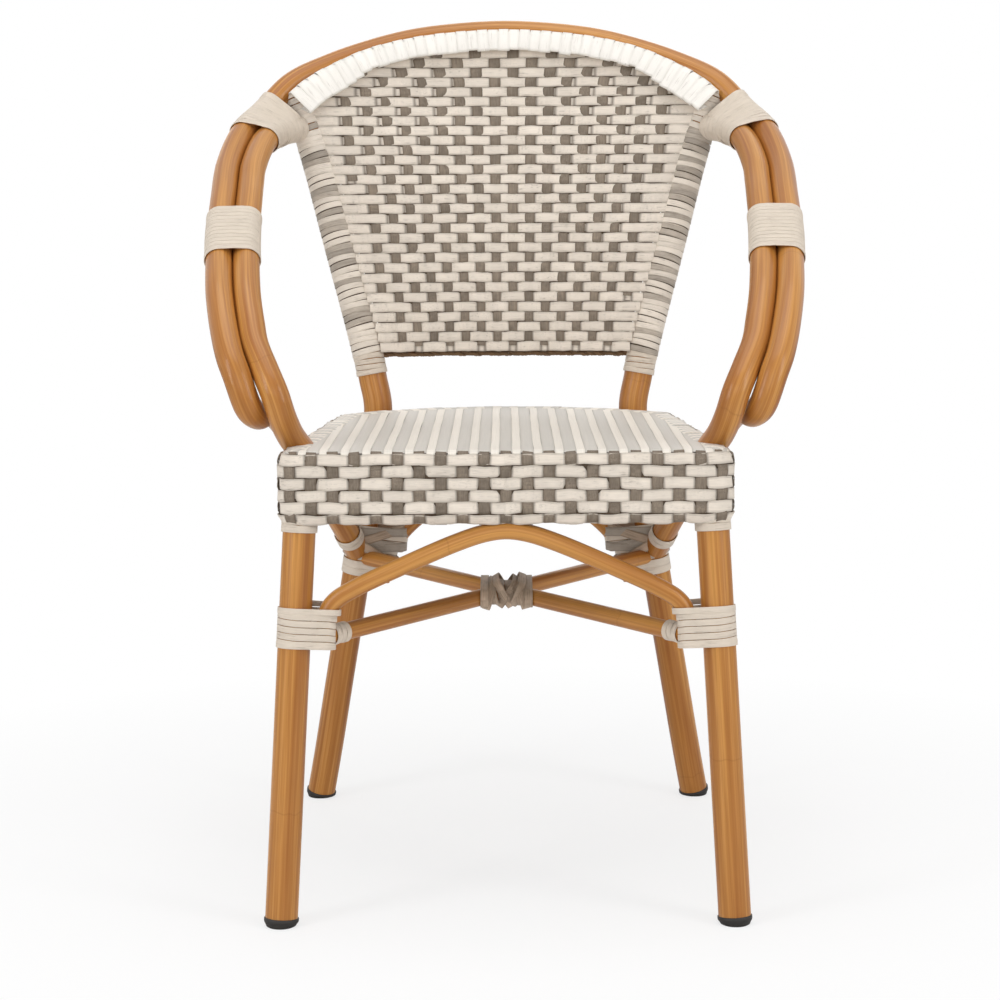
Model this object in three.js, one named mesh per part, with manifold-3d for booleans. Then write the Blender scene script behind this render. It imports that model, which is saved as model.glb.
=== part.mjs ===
// A stackable cafe armchair: a welded frame of round tube with a wood look, a woven back and seat,
// and flat strip wound round the joints. Millimetres, +Z up. The chair faces -Y and stands on Z = 0.
// Left and right are as seen from the front, so left is -X.
import * as THREE from "three";
import { mergeVertices } from "three/addons/utils/BufferGeometryUtils.js";
import Module from "manifold-3d";

const wasm = await Module();
wasm.setup();

// Tube sizes
const legTube = 31;
const armTube = 26;
const braceTube = 17;
const seatTube = 19;
const apronTube = 14;
const hoopTube = 14;
const backRailTube = 16;
const supportTube = 14;
const tubeWall = 1.8;
const wideSides = 10;
const wideBoreSides = 5;
const thinSides = 8;
const thinBoreSides = 4;
const thinTubeLimit = 20;

// Fits
const gap = 0.3;
const looseGap = 0.5;
const windingGap = 0.95;
const partingGap = 3.9;
const weaveRelief = 2;

// The seat: its places are measured back from its front face
const seatHeight = 450;
const seatDepth = 438;
const seatSideDepth = 345;
const seatFrontHalfWidth = 215;
const seatRearInset = 32;
const seatRearBulge = 56;
const seatRearCornerRadius = 16;
const apronDepth = 67;
const skinThickness = 3;
const supportShares = [0.274, 0.548];

// The legs: how far they stand in from the seat's width and how far behind their waist they reach
const frontFootLead = 17.4;
const rearFootInset = 1;
const rearFootSetback = 52;
const waistInset = 75;
const shoulderInset = 55.5;
const shoulderSetback = 58;
const shoulderRise = 354;
const footCapHeight = 8;
const footCapDiameter = 33;
const footCapBase = 28;
const footStemLength = 24;

// The arch of the back and the arm tubes. Rises and drops are from the seat's top or, at the
// shoulder, from where the rear leg ends on the arch.
const crownRise = 58;
const crownSetback = 60;
const armStandOut = 74;
const noseRise = 60;
const armLandingDrop = 164;
const archPastShoulder = 38.4;
const sleeveLength = 30;
const armEndRoomLength = 120;
const innerArmTopDrop = 47;
const innerArmLandingBack = 72;

// The back
const backRailRise = 68;
const backRailBow = 14;
const backPanelThickness = 3;
const backPanelDrop = 9;
const panelSideShare = 0.07;
const hoopForward = 20;
const hoopDrop = 9;
const hoopLandingDrop = 36;
const sideWrapOverhang = 10;
const sideWrapTopDrop = 68;
const sideWrapThickness = 2.5;

// The braces below the seat: the front ones hang from the seat, the rear ones go with the arm's end
const archBraceClearance = 1.5;
const frontArchDrop = 155;
const frontArchOverCross = 29;
const rearArchOverArm = 1;
const crossBraceUnderArm = 2;
const archBraceEndDrop = 48;
const rearArchEndDrop = 32;
const braceStandOff = 6;

// The strip of the bindings, and the place of each binding along its tubes
const stripThickness = 1.6;
const stripSlit = 1.1;
const stripPitch = 9;
const knotPitch = 9.6;
const upperBindingShare = 1.56;
const middleBindingShare = 0.525;
const frontBindingOverArch = 9;
const topCuffDrop = 3;
const crossCuffSetback = 51;
const rearBindingOverArm = 34;
const rearCuffUnderArm = 19;
const backCuffDrop = 3;
const partingNearShare = 1.25;
const partingFarShare = 2.2;

// How finely routes are read and cut into steps. Where a route turns by a radian, it gets as many
// steps as a straight stretch of the turning length.
const turningLength = 260;
const routeSamples = 600;
const paceSamples = 240;
const sectionSamples = 200;
const legSteps = 16;
const archSteps = 14;
const outerArmSteps = 30;
const innerArmSteps = 20;
const braceSteps = 18;
const bowSteps = 8;
const panelColumns = 12;
const panelRows = 6;

// Places that follow from the sizes above
const legRadius = legTube / 2;
const braceRadius = braceTube / 2;
const seatRearHalfWidth = seatFrontHalfWidth - seatRearInset;
const seatRearRadius = seatRearHalfWidth + seatRearBulge;
const seatRearCentre = seatDepth - seatRearRadius;
const frontFootHalfSpan = seatFrontHalfWidth;
const rearFootHalfSpan = seatFrontHalfWidth - rearFootInset;
const waistHalfWidth = seatFrontHalfWidth - waistInset;
const waistReach = seatRearRadius + legRadius + looseGap;
const waistBack = seatRearCentre + Math.sqrt(waistReach ** 2 - waistHalfWidth ** 2);
const rearFootBack = waistBack + rearFootSetback;
const armHalfWidth = seatFrontHalfWidth + armStandOut;
const shoulderHalfWidth = armHalfWidth - shoulderInset;
const shoulderBack = waistBack + shoulderSetback;
const shoulderHeight = seatHeight + shoulderRise;
const crownBack = shoulderBack + crownSetback;
const crownHeight = shoulderHeight + crownRise;
const noseHeight = seatHeight + noseRise;
const armLandingHeight = seatHeight - armLandingDrop;
const backRailHeight = seatHeight + backRailRise;
const sideWrapBottom = backRailHeight - sideWrapOverhang;
const sideWrapTop = shoulderHeight - sideWrapTopDrop;
const archBracePeak = seatHeight - apronDepth - archBraceClearance - braceRadius;
const frontArchLift = seatHeight - frontArchDrop;
const rearArchLift = armLandingHeight + rearArchOverArm;
const crossBraceFrontHeight = frontArchLift - frontArchOverCross;
const crossBraceRearHeight = armLandingHeight - crossBraceUnderArm;
const archAxisReach = crownBack + armTube / 2;
const frontReach = frontFootLead + footCapDiameter / 2;
const seatFrontY = (frontReach - archAxisReach) / 2;
const at = (across, back, up) => new THREE.Vector3(across, seatFrontY + back, up);
const up = new THREE.Vector3(0, 0, 1);

// Materials
const look = {
  wood: { color: 0xb5793c, roughness: 0.4, metalness: 0.1 },
  strip: { color: 0xe2d8c6, roughness: 0.6, metalness: 0 },
  weave: { color: 0xd8cebc, roughness: 0.65, metalness: 0 },
  metal: { color: 0xb9bcbf, roughness: 0.45, metalness: 0.8 },
  rubber: { color: 0x1d1815, roughness: 0.7, metalness: 0 },
};
const finish = (name) => new THREE.MeshStandardMaterial(look[name]);

// A closed surface from its points and triangles, turned so that its faces point out
function closedSurface(points, triangles) {
  let volume = 0;
  for (const [a, b, c] of triangles) {
    volume += points[a].dot(new THREE.Vector3().crossVectors(points[b], points[c]));
  }
  const order = volume < 0 ? triangles.map(([a, b, c]) => [a, c, b]) : triangles;
  const geometry = new THREE.BufferGeometry().setFromPoints(points);
  geometry.setIndex(order.flat());
  geometry.computeVertexNormals();
  return geometry;
}

// A skin over rings of as many points each. An open row of rings gets an end at both sides, laid
// as a ladder between point i and the i-th point from the end.
function loft(rings, closed = false) {
  const count = rings[0].length;
  const triangles = [];
  const last = closed ? rings.length : rings.length - 1;
  for (let r = 0; r < last; r += 1) {
    const next = ((r + 1) % rings.length) * count;
    for (let i = 0; i < count; i += 1) {
      const j = (i + 1) % count;
      triangles.push([r * count + i, r * count + j, next + j]);
      triangles.push([r * count + i, next + j, next + i]);
    }
  }
  if (!closed) {
    const top = (rings.length - 1) * count;
    for (let i = 0; i < count / 2 - 1; i += 1) {
      const far = count - 1 - i;
      triangles.push([i + 1, i, far], [i + 1, far, far - 1]);
      triangles.push([top + i, top + i + 1, top + far], [top + far, top + i + 1, top + far - 1]);
    }
  }
  return closedSurface(rings.flat(), triangles);
}

// Booleans
function toSolid(geometry) {
  const bare = geometry.clone();
  bare.deleteAttribute("normal");
  bare.deleteAttribute("uv");
  const merged = mergeVertices(bare);
  const vertProperties = new Float32Array(merged.attributes.position.array);
  const triVerts = new Uint32Array(merged.index.array);
  return new wasm.Manifold(new wasm.Mesh({ numProp: 3, vertProperties, triVerts }));
}

function toGeometry(solid) {
  const mesh = solid.getMesh();
  const geometry = new THREE.BufferGeometry();
  geometry.setAttribute("position", new THREE.BufferAttribute(mesh.vertProperties, 3));
  geometry.setIndex(new THREE.BufferAttribute(mesh.triVerts, 1));
  geometry.computeVertexNormals();
  return geometry;
}

function cut(geometry, ...tools) {
  const left = tools.reduce((solid, tool) => solid.subtract(toSolid(tool)), toSolid(geometry));
  return toGeometry(left);
}

// The same shape on the other side of the chair, with its triangles turned back to face out
function mirrored(geometry) {
  const copy = geometry.clone();
  const place = copy.attributes.position;
  for (let i = 0; i < place.count; i += 1) {
    place.setX(i, -place.getX(i));
  }
  const order = copy.index ? [...copy.index.array] : [...Array(place.count).keys()];
  for (let i = 0; i < order.length; i += 3) {
    [order[i + 1], order[i + 2]] = [order[i + 2], order[i + 1]];
  }
  copy.setIndex(order);
  copy.computeVertexNormals();
  return copy;
}

// Tubes
function circle(radius, sides) {
  const points = [];
  for (let i = 0; i < sides; i += 1) {
    const angle = (i / sides) * 2 * Math.PI;
    points.push(new THREE.Vector2(radius * Math.cos(angle), radius * Math.sin(angle)));
  }
  return points;
}

// A route that hands out its steps where it bends: each step takes a like part of the length and of
// the turning together
class Paced extends THREE.Curve {
  constructor(base) {
    super();
    this.base = base;
    const straight = base.getLength() / paceSamples;
    this.pace = [0];
    let before = base.getTangentAt(0);
    for (let i = 1; i <= paceSamples; i += 1) {
      const tangent = base.getTangentAt(i / paceSamples);
      this.pace.push(this.pace[i - 1] + straight + turningLength * before.angleTo(tangent));
      before = tangent;
    }
  }

  getPoint(t, target = new THREE.Vector3()) {
    const wanted = THREE.MathUtils.clamp(t, 0, 1) * this.pace.at(-1);
    let i = 0;
    while (i < paceSamples - 1 && this.pace[i + 1] < wanted) i += 1;
    const share = (wanted - this.pace[i]) / (this.pace[i + 1] - this.pace[i]);
    return target.copy(this.base.getPointAt(Math.min(1, (i + share) / paceSamples)));
  }

  getUtoTmapping(share) {
    return share;
  }
}

const sidesOf = (diameter) => (diameter > thinTubeLimit ? wideSides : thinSides);
const boreSidesOf = (diameter) => (diameter > thinTubeLimit ? wideBoreSides : thinBoreSides);
const boreReach = (diameter) => (diameter / 2 - tubeWall) * Math.cos(Math.PI / boreSidesOf(diameter));

function tube(curve, diameter, steps) {
  const shape = new THREE.Shape(circle(diameter / 2, sidesOf(diameter)));
  shape.holes.push(new THREE.Path(circle(diameter / 2 - tubeWall, boreSidesOf(diameter))));
  return new THREE.ExtrudeGeometry(shape, { extrudePath: new Paced(curve), steps, bevelEnabled: false });
}

// The room that a tube takes up with its fit round it, which cuts the tubes that end on it
function room(curve, diameter, steps, clearance = gap) {
  const sides = sidesOf(diameter);
  const radius = (diameter / 2 + clearance) / Math.cos(Math.PI / sides);
  const shape = new THREE.Shape(circle(radius, sides));
  return new THREE.ExtrudeGeometry(shape, { extrudePath: new Paced(curve), steps, bevelEnabled: false });
}

// A sleeve round a stretch of tube, with flats that clear the tube's corners
const sleeveBore = (diameter) => (diameter / 2 + gap) / Math.cos(Math.PI / wideSides);

function sleeve(curve, diameter, thickness, steps) {
  const shape = new THREE.Shape(circle(sleeveBore(diameter) + thickness, wideSides));
  shape.holes.push(new THREE.Path(circle(sleeveBore(diameter), wideSides)));
  return new THREE.ExtrudeGeometry(shape, { extrudePath: new Paced(curve), steps, bevelEnabled: false });
}

// Routes
function route(points) {
  const curve = new THREE.CatmullRomCurve3(points, false, "centripetal");
  curve.arcLengthDivisions = routeSamples;
  return curve;
}

// Part of a route, from one length along it to another
class Stretch extends THREE.Curve {
  constructor(base, from, to) {
    super();
    this.base = base;
    this.from = from / base.getLength();
    this.to = to / base.getLength();
  }

  getPoint(t, target = new THREE.Vector3()) {
    const share = THREE.MathUtils.clamp(THREE.MathUtils.lerp(this.from, this.to, t), 0, 1);
    return target.copy(this.base.getPointAt(share));
  }
}

const between = (from, to, share) => new THREE.Vector3(
  THREE.MathUtils.lerp(from.x, to.x, share[0]),
  THREE.MathUtils.lerp(from.y, to.y, share[1]),
  THREE.MathUtils.lerp(from.z, to.z, share[2]),
);

const flipped = (point) => new THREE.Vector3(-point.x, point.y, point.z);

// How far along a rising route it reaches a height, and the place there
function lengthAtHeight(curve, height) {
  let low = 0;
  let high = 1;
  for (let i = 0; i < 40; i += 1) {
    const middle = (low + high) / 2;
    if (curve.getPointAt(middle).z < height) low = middle;
    else high = middle;
  }
  return low * curve.getLength();
}

const placeAtHeight = (curve, height) => (
  curve.getPointAt(lengthAtHeight(curve, height) / curve.getLength())
);

// How far along a route it comes nearest to a place
function lengthNearest(curve, place) {
  const away = (share) => curve.getPointAt(share).distanceTo(place);
  const nearer = (a, b) => (away(b) < away(a) ? b : a);
  let best = 0;
  for (let i = 1; i <= routeSamples; i += 1) best = nearer(best, i / routeSamples);
  for (let i = 1; i < 12; i += 1) {
    const step = 1 / (routeSamples * 2 ** i);
    best = [best - step, best + step].reduce(nearer, best);
  }
  return best * curve.getLength();
}

const stretchOfHeight = (curve, bottom, top) => (
  new Stretch(curve, lengthAtHeight(curve, bottom), lengthAtHeight(curve, top))
);

// The seat's outline seen from above, drawn in by an inset. Its front corners are as round as the
// leg inside them, and its rear is one wide arc.
const seatCornerRadius = legRadius + looseGap + skinThickness;
const sideSlope = (seatFrontHalfWidth - seatRearHalfWidth) / seatSideDepth;
const sideAngle = Math.atan(sideSlope);
const sideDistance = seatFrontHalfWidth * Math.cos(sideAngle);
const cornerAcross = (sideDistance - seatCornerRadius * (1 + Math.sin(sideAngle))) / Math.cos(sideAngle);

function rearCornerCentre() {
  const reach = seatRearRadius - seatRearCornerRadius;
  const away = sideDistance - seatRearCornerRadius - seatRearCentre * Math.sin(sideAngle);
  const turn = sideAngle + Math.acos(away / reach);
  return { across: reach * Math.cos(turn), back: seatRearCentre + reach * Math.sin(turn), turn };
}

function seatOutline(inset, height) {
  const corner = rearCornerCentre();
  const half = [];
  const arc = (across, back, radius, from, to, steps) => {
    for (let i = 0; i <= steps; i += 1) {
      const angle = THREE.MathUtils.lerp(from, to, i / steps);
      half.push(at(across + radius * Math.cos(angle), back + radius * Math.sin(angle), height));
    }
  };
  arc(cornerAcross, seatCornerRadius, seatCornerRadius - inset, -Math.PI / 2, sideAngle, 4);
  arc(corner.across, corner.back, seatRearCornerRadius - inset, sideAngle, corner.turn, 3);
  const steps = 6;
  const rear = seatRearRadius - inset;
  for (let i = 1; i <= steps; i += 1) {
    const angle = THREE.MathUtils.lerp(corner.turn, Math.PI / 2, i / (steps + 0.5));
    half.push(at(rear * Math.cos(angle), seatRearCentre + rear * Math.sin(angle), height));
  }
  return [...half, ...half.map(flipped).reverse()];
}

const seatSide = (inset, back, height) => at(
  (sideDistance - inset) / Math.cos(sideAngle) - back * sideSlope,
  back,
  height,
);

// Legs. The rear leg and the upright above it are one bent tube. Its lower places are shares of
// the way from the foot to the waist at seat level, the upper ones from the waist to the shoulder.
const frontFoot = at(frontFootHalfSpan, -frontFootLead, 0);
const frontLegTop = at(cornerAcross, seatCornerRadius, seatHeight - apronDepth);
const legUnit = frontLegTop.clone().sub(frontFoot).normalize();
const frontLegPlace = (height) => (
  frontFoot.clone().addScaledVector(legUnit, height / legUnit.z)
);
const seatTubeHeight = seatHeight - skinThickness - looseGap - seatTube / 2;
const seatTubeInset = skinThickness + looseGap + seatTube / 2;
const frontLegLine = new THREE.LineCurve3(
  frontLegPlace(footCapHeight),
  frontLegPlace(seatTubeHeight),
);

const rearFoot = at(rearFootHalfSpan, rearFootBack, 0);
const waist = at(waistHalfWidth, waistBack, seatHeight);
const shoulder = at(shoulderHalfWidth, shoulderBack, shoulderHeight);
const lowerLegShares = [
  [0, 0, 0], [0.16, 0.21, 0.14], [0.33, 0.44, 0.3], [0.65, 0.73, 0.605], [0.86, 0.9, 0.82],
];
const uprightShares = [
  [0, 0, 0], [0.06, 0.06, 0.095], [0.13, 0.12, 0.19], [0.45, 0.5, 0.51], [0.74, 0.88, 0.793], [1, 1, 1],
];
const rearLegLine = route([
  ...lowerLegShares.map((share) => between(rearFoot, waist, share)),
  ...uprightShares.map((share) => between(waist, shoulder, share)),
]);

// The arch and both arms are one route, from the end of the left arm over the crown to the end of
// the right arm. Its places are shares of the way from the crown to the shoulder, then of the way
// from the nose of the arm up to the shoulder, and then of the way from the arm's landing on the
// rear leg to the nose, with the arm's stand out beside the seat.
const crown = at(0, crownBack, crownHeight);
const archShares = [
  [0.26, 0.06, 0.06], [0.449, 0.17, 0.17], [0.637, 0.36, 0.37], [0.823, 0.63, 0.64],
];
const nose = at(armHalfWidth, 0, noseHeight);
const armShares = [
  [0.907, 0.947, 0.893], [0.969, 0.84, 0.816], [1, 0.702, 0.701], [0.995, 0.553, 0.578],
  [0.987, 0.426, 0.459], [0.976, 0.351, 0.389], [0.95, 0.213, 0.259], [0.9, 0.089, 0.095],
  [0.871, 0.062, 0.026],
];
const returnShares = [
  [0.36, 0.071, 0.904], [0.277, 0.118, 0.861], [0.227, 0.18, 0.857], [0.18, 0.27, 0.848],
  [0.13, 0.4, 0.79], [0.063, 0.545, 0.693], [-0.047, 0.675, 0.572], [-0.27, 0.8, 0.369],
  [-0.476, 0.895, 0.203],
];
const armLanding = placeAtHeight(rearLegLine, armLandingHeight);
const armPlaces = armShares.map((share) => (
  between(nose, shoulder, [0, share[1], share[2]]).setX(armHalfWidth * share[0])
));
const halfRail = [
  ...archShares.map((share) => between(crown, shoulder, share)),
  shoulder,
  ...armPlaces,
  ...returnShares.map((share) => at(
    seatFrontHalfWidth + armStandOut * share[0],
    waistBack * share[1],
    THREE.MathUtils.lerp(armLandingHeight, noseHeight, share[2]),
  )),
  armLanding,
];
const railLine = route([...halfRail.map(flipped).reverse(), crown, ...halfRail]);
const railLength = railLine.getLength();
const shoulderStation = lengthNearest(railLine, shoulder);
const jointStation = shoulderStation + archPastShoulder;
const archLine = new Stretch(railLine, railLength - jointStation, jointStation);
const armLine = new Stretch(railLine, jointStation + gap, railLength);

// The inner arm tube lies beside the outer one for a part of the way from the shoulder to the nose,
// then bends in to the seat's side. That bend's places are tube diameters away from its landing.
const noseReach = lengthNearest(railLine, armPlaces.at(-1)) - shoulderStation;
function besideArm(share) {
  const station = (shoulderStation + noseReach * share) / railLength;
  const tangent = railLine.getTangentAt(station);
  const inward = new THREE.Vector3().crossVectors(tangent, up).normalize();
  return railLine.getPointAt(station).addScaledVector(inward, armTube + looseGap);
}

const besideShares = [0.343, 0.416, 0.489, 0.571, 0.653, 0.735, 0.808, 0.881, 0.935];
const innerArmTopShares = [[0.154, 0.445, 0.65], [0.44, 0.767, 0.87]];
const innerArmTop = placeAtHeight(rearLegLine, shoulderHeight - innerArmTopDrop);
const innerArmStart = besideArm(besideShares[0]);
const innerArmLanding = seatSide(seatTubeInset, innerArmLandingBack, seatTubeHeight + seatTube / 4);
const innerArmBendShares = [
  [1.18, -1.39, 3.09], [0.81, -1.83, 2.3], [0.565, -1.62, 1.427], [0.338, -0.858, 0.673],
];
const innerArmBend = innerArmBendShares.map((share) => (
  innerArmLanding.clone().addScaledVector(new THREE.Vector3(...share), armTube)
));
const innerArmLine = route([
  innerArmTop,
  ...innerArmTopShares.map((share) => between(innerArmStart, innerArmTop, share)).reverse(),
  ...besideShares.map(besideArm),
  ...innerArmBend,
  innerArmLanding,
]);

// The back's own tubes
const backRailEnd = placeAtHeight(rearLegLine, backRailHeight);
const backRailMiddle = backRailEnd.clone().add(new THREE.Vector3(0, backRailBow * 2, 0)).setX(0);
const backRailLine = new THREE.QuadraticBezierCurve3(flipped(backRailEnd), backRailMiddle, backRailEnd);
const hoopLandingHeight = shoulderHeight - hoopLandingDrop;
const hoopLanding = placeAtHeight(rearLegLine, hoopLandingHeight);
const hoopShares = [
  [0.26, 0.06, 0.06], [0.449, 0.17, 0.17], [0.637, 0.36, 0.37], [0.792, 0.63, 0.64],
  [0.885, 0.86, 0.98],
];
const hoopShift = new THREE.Vector3(0, -hoopForward, -hoopDrop);
const halfHoop = [
  ...hoopShares.map((share) => between(crown, shoulder, share).add(hoopShift)),
  hoopLanding,
];
const hoopLine = route([
  ...halfHoop.map(flipped).reverse(),
  crown.clone().add(hoopShift),
  ...halfHoop,
]);

// The braces
const besideLeg = (place) => place.clone().setX(place.x - legRadius - braceRadius - braceStandOff);

function archBraceLine(shares, foot, spring) {
  const peak = spring.clone().setX(0).setZ(archBracePeak);
  const half = [foot, ...shares.map((share) => between(spring, peak, [share[0], 0, share[1]]))];
  return route([...half.map(flipped), peak, ...half.reverse()]);
}

const frontArchShares = [
  [0, 0], [0.045, 0.15], [0.15, 0.295], [0.4, 0.55], [0.72, 0.85], [0.88, 0.965],
];
const frontArchFoot = besideLeg(frontLegPlace(frontArchLift - archBraceEndDrop));
const frontArchSpring = besideLeg(frontLegPlace(frontArchLift));
const frontArchLine = archBraceLine(frontArchShares, frontArchFoot, frontArchSpring);
const rearArchShares = [
  [0.03, 0.1], [0.11, 0.22], [0.18, 0.34], [0.3, 0.5], [0.62, 0.81], [0.87, 0.965],
];
const rearArchSpring = besideLeg(placeAtHeight(rearLegLine, rearArchLift));
const rearArchFoot = besideLeg(placeAtHeight(rearLegLine, rearArchLift - rearArchEndDrop));
const rearArchLine = archBraceLine(rearArchShares, rearArchFoot, rearArchSpring);

const crossFront = frontLegPlace(crossBraceFrontHeight);
const crossRear = placeAtHeight(rearLegLine, crossBraceRearHeight);
const longBraceLine = new THREE.LineCurve3(flipped(crossFront), crossRear);
const crossShare = crossFront.x / (crossFront.x + crossRear.x);
const crossing = flipped(crossFront).lerp(crossRear, crossShare);
const shortFrontLine = new THREE.LineCurve3(crossFront, crossing);
const shortRearLine = new THREE.LineCurve3(crossing, flipped(crossRear));

// Rooms that cut what ends on them
const frontLegRoom = room(frontLegLine, legTube, 1);
const rearLegRoom = room(rearLegLine, legTube, legSteps);
const archRoom = room(archLine, armTube, archSteps);
const innerArmRoom = room(innerArmLine, armTube, innerArmSteps);
const armEndLine = new Stretch(railLine, railLength - armEndRoomLength, railLength);
const armEndRoom = room(armEndLine, armTube, bowSteps);
const backRailRoom = room(backRailLine, backRailTube, bowSteps);
const longBraceRoom = room(longBraceLine, braceTube, 1);

// The assembly
const chair = new THREE.Group();
const frame = new THREE.Group();
const seat = new THREE.Group();
const back = new THREE.Group();
const bindings = new THREE.Group();
const feet = new THREE.Group();
chair.add(frame, seat, back, bindings, feet);

function add(group, name, geometry, material) {
  const mesh = new THREE.Mesh(geometry, finish(material));
  mesh.name = name;
  group.add(mesh);
}

function addPair(group, name, geometry, material) {
  add(group, `${name}_right`, geometry, material);
  add(group, `${name}_left`, mirrored(geometry), material);
}

// Seat rails: front and rear run across, the sides stop on them
const railEnd = at(cornerAcross, seatTubeInset, seatTubeHeight);
const seatFrontLine = new THREE.LineCurve3(flipped(railEnd), railEnd);
const seatFrontRoom = room(seatFrontLine, seatTube, 1, looseGap);

function rearArcLine(inset, height, reach) {
  const points = [];
  const radius = seatRearRadius - inset;
  const turn = Math.asin(reach / radius);
  for (let i = 0; i <= bowSteps; i += 1) {
    const angle = Math.PI / 2 + THREE.MathUtils.lerp(-turn, turn, i / bowSteps);
    points.push(at(radius * Math.cos(angle), seatRearCentre + radius * Math.sin(angle), height));
  }
  return route(points);
}

const rearCorner = rearCornerCentre();
const seatRearLine = rearArcLine(seatTubeInset, seatTubeHeight, rearCorner.across);
const seatRearRoom = room(seatRearLine, seatTube, bowSteps, looseGap);
const seatSideLine = new THREE.LineCurve3(
  seatSide(seatTubeInset, seatCornerRadius, seatTubeHeight),
  seatSide(seatTubeInset, rearCorner.back - seatTubeInset / 2, seatTubeHeight),
);
const seatSideRoom = room(seatSideLine, seatTube, 1);
add(seat, "seat_front_rail", tube(seatFrontLine, seatTube, 1), "metal");
add(seat, "seat_rear_rail", tube(seatRearLine, seatTube, bowSteps), "metal");
addPair(seat, "seat_side_rail", cut(
  tube(seatSideLine, seatTube, 1),
  seatFrontRoom,
  seatRearRoom,
), "metal");

// Apron rails: they carry the woven apron's lower edge and stop on the front legs
const apronRailHeight = seatHeight - apronDepth + apronTube / 2 + looseGap;
const apronInset = skinThickness + looseGap + apronTube / 2;
const apronEnd = at(cornerAcross, apronInset, apronRailHeight);
const apronFrontLine = new THREE.LineCurve3(flipped(apronEnd), apronEnd);
const apronRearLine = rearArcLine(apronInset, apronRailHeight, rearCorner.across);
const apronRearRoom = room(apronRearLine, apronTube, bowSteps, looseGap);
const apronSideLine = new THREE.LineCurve3(
  seatSide(apronInset, seatCornerRadius, apronRailHeight),
  seatSide(apronInset, rearCorner.back, apronRailHeight),
);
add(seat, "apron_front_rail", cut(
  tube(apronFrontLine, apronTube, 1),
  frontLegRoom,
  mirrored(frontLegRoom),
), "metal");
add(seat, "apron_rear_rail", tube(apronRearLine, apronTube, bowSteps), "metal");
addPair(seat, "apron_side_rail", cut(
  tube(apronSideLine, apronTube, 1),
  frontLegRoom,
  apronRearRoom,
), "metal");

// Support bars under the deck, from side rail to side rail
const supportHeight = seatHeight - skinThickness - looseGap - supportTube / 2;
supportShares.forEach((share, i) => {
  const end = seatSide(seatTubeInset, seatDepth * share, supportHeight);
  const line = new THREE.LineCurve3(flipped(end), end);
  const bar = cut(tube(line, supportTube, 1), seatSideRoom, mirrored(seatSideRoom));
  add(seat, `seat_support_bar_${i + 1}`, bar, "metal");
});

// Woven skins of the seat. The deck rolls over the rails, and the apron goes on below it. The inner
// arms pass through both, and the weave stands clear below an arm's leaning side.
const edgeRadius = seatTubeInset;
const edgeHeight = seatHeight - edgeRadius;

function edgeRing(radius, angle) {
  return seatOutline(edgeRadius - radius * Math.cos(angle), edgeHeight + radius * Math.sin(angle));
}

const rollShares = [0, 0.25, 0.5, 0.75, 1];
const rollAngles = rollShares.map((share) => (share * Math.PI) / 2);
const innerEdgeRadius = edgeRadius - skinThickness;
const loweredRoom = innerArmRoom.clone().translate(0, 0, -weaveRelief);
const armHoles = [innerArmRoom, loweredRoom].flatMap((hole) => [hole, mirrored(hole)]);
add(seat, "seat_deck_weave", cut(loft([
  ...[...rollAngles].reverse().map((angle) => edgeRing(edgeRadius, angle)),
  ...rollAngles.map((angle) => edgeRing(innerEdgeRadius, angle)),
]), ...armHoles), "weave");
add(seat, "seat_apron_weave", cut(loft([
  seatOutline(0, edgeHeight - gap),
  seatOutline(0, seatHeight - apronDepth),
  seatOutline(skinThickness, seatHeight - apronDepth),
  seatOutline(skinThickness, edgeHeight - gap),
], true), ...armHoles), "weave");

// Legs
addPair(frame, "front_leg", cut(
  tube(frontLegLine, legTube, 1),
  seatFrontRoom,
  seatSideRoom,
), "wood");
const rearLegTube = stretchOfHeight(rearLegLine, footCapHeight, shoulderHeight);
addPair(frame, "rear_leg", cut(tube(rearLegTube, legTube, legSteps), archRoom), "wood");

// Arch, arms and the sleeves inside their joints
add(frame, "back_arch", tube(archLine, armTube, archSteps), "wood");
addPair(frame, "outer_arm", cut(tube(armLine, armTube, outerArmSteps), rearLegRoom), "wood");
addPair(frame, "inner_arm", cut(
  tube(innerArmLine, armTube, innerArmSteps),
  rearLegRoom,
  seatSideRoom,
), "wood");
const sleeveDiameter = 2 * (boreReach(armTube) - looseGap);
const sleeveHalf = sleeveLength / 2;
const sleeveLine = new Stretch(railLine, jointStation - sleeveHalf, jointStation + sleeveHalf);
addPair(frame, "arch_joint_sleeve", tube(sleeveLine, sleeveDiameter, 4), "metal");

// Braces
const legRooms = [frontLegRoom, mirrored(frontLegRoom), rearLegRoom, mirrored(rearLegRoom)];
const armEndRooms = [armEndRoom, mirrored(armEndRoom)];
add(frame, "front_arch_brace", tube(frontArchLine, braceTube, braceSteps), "wood");
add(frame, "rear_arch_brace", tube(rearArchLine, braceTube, braceSteps), "wood");
add(frame, "cross_brace_long", cut(
  tube(longBraceLine, braceTube, 1),
  ...legRooms,
  ...armEndRooms,
), "wood");
add(frame, "cross_brace_half_front", cut(
  tube(shortFrontLine, braceTube, 1),
  ...legRooms,
  longBraceRoom,
), "wood");
add(frame, "cross_brace_half_rear", cut(
  tube(shortRearLine, braceTube, 1),
  ...legRooms,
  longBraceRoom,
  ...armEndRooms,
), "wood");

// The back's rail, hoop, side wraps and panel
const sideWrapLine = stretchOfHeight(rearLegLine, sideWrapBottom, sideWrapTop);
const bothLegs = [rearLegRoom, mirrored(rearLegRoom)];
add(back, "back_lower_rail", cut(tube(backRailLine, backRailTube, bowSteps), ...bothLegs), "wood");
add(back, "back_inner_hoop", cut(tube(hoopLine, hoopTube, archSteps), ...bothLegs), "wood");
addPair(back, "back_side_wrap", cut(
  sleeve(sideWrapLine, legTube, sideWrapThickness, 7),
  backRailRoom,
), "weave");

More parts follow.
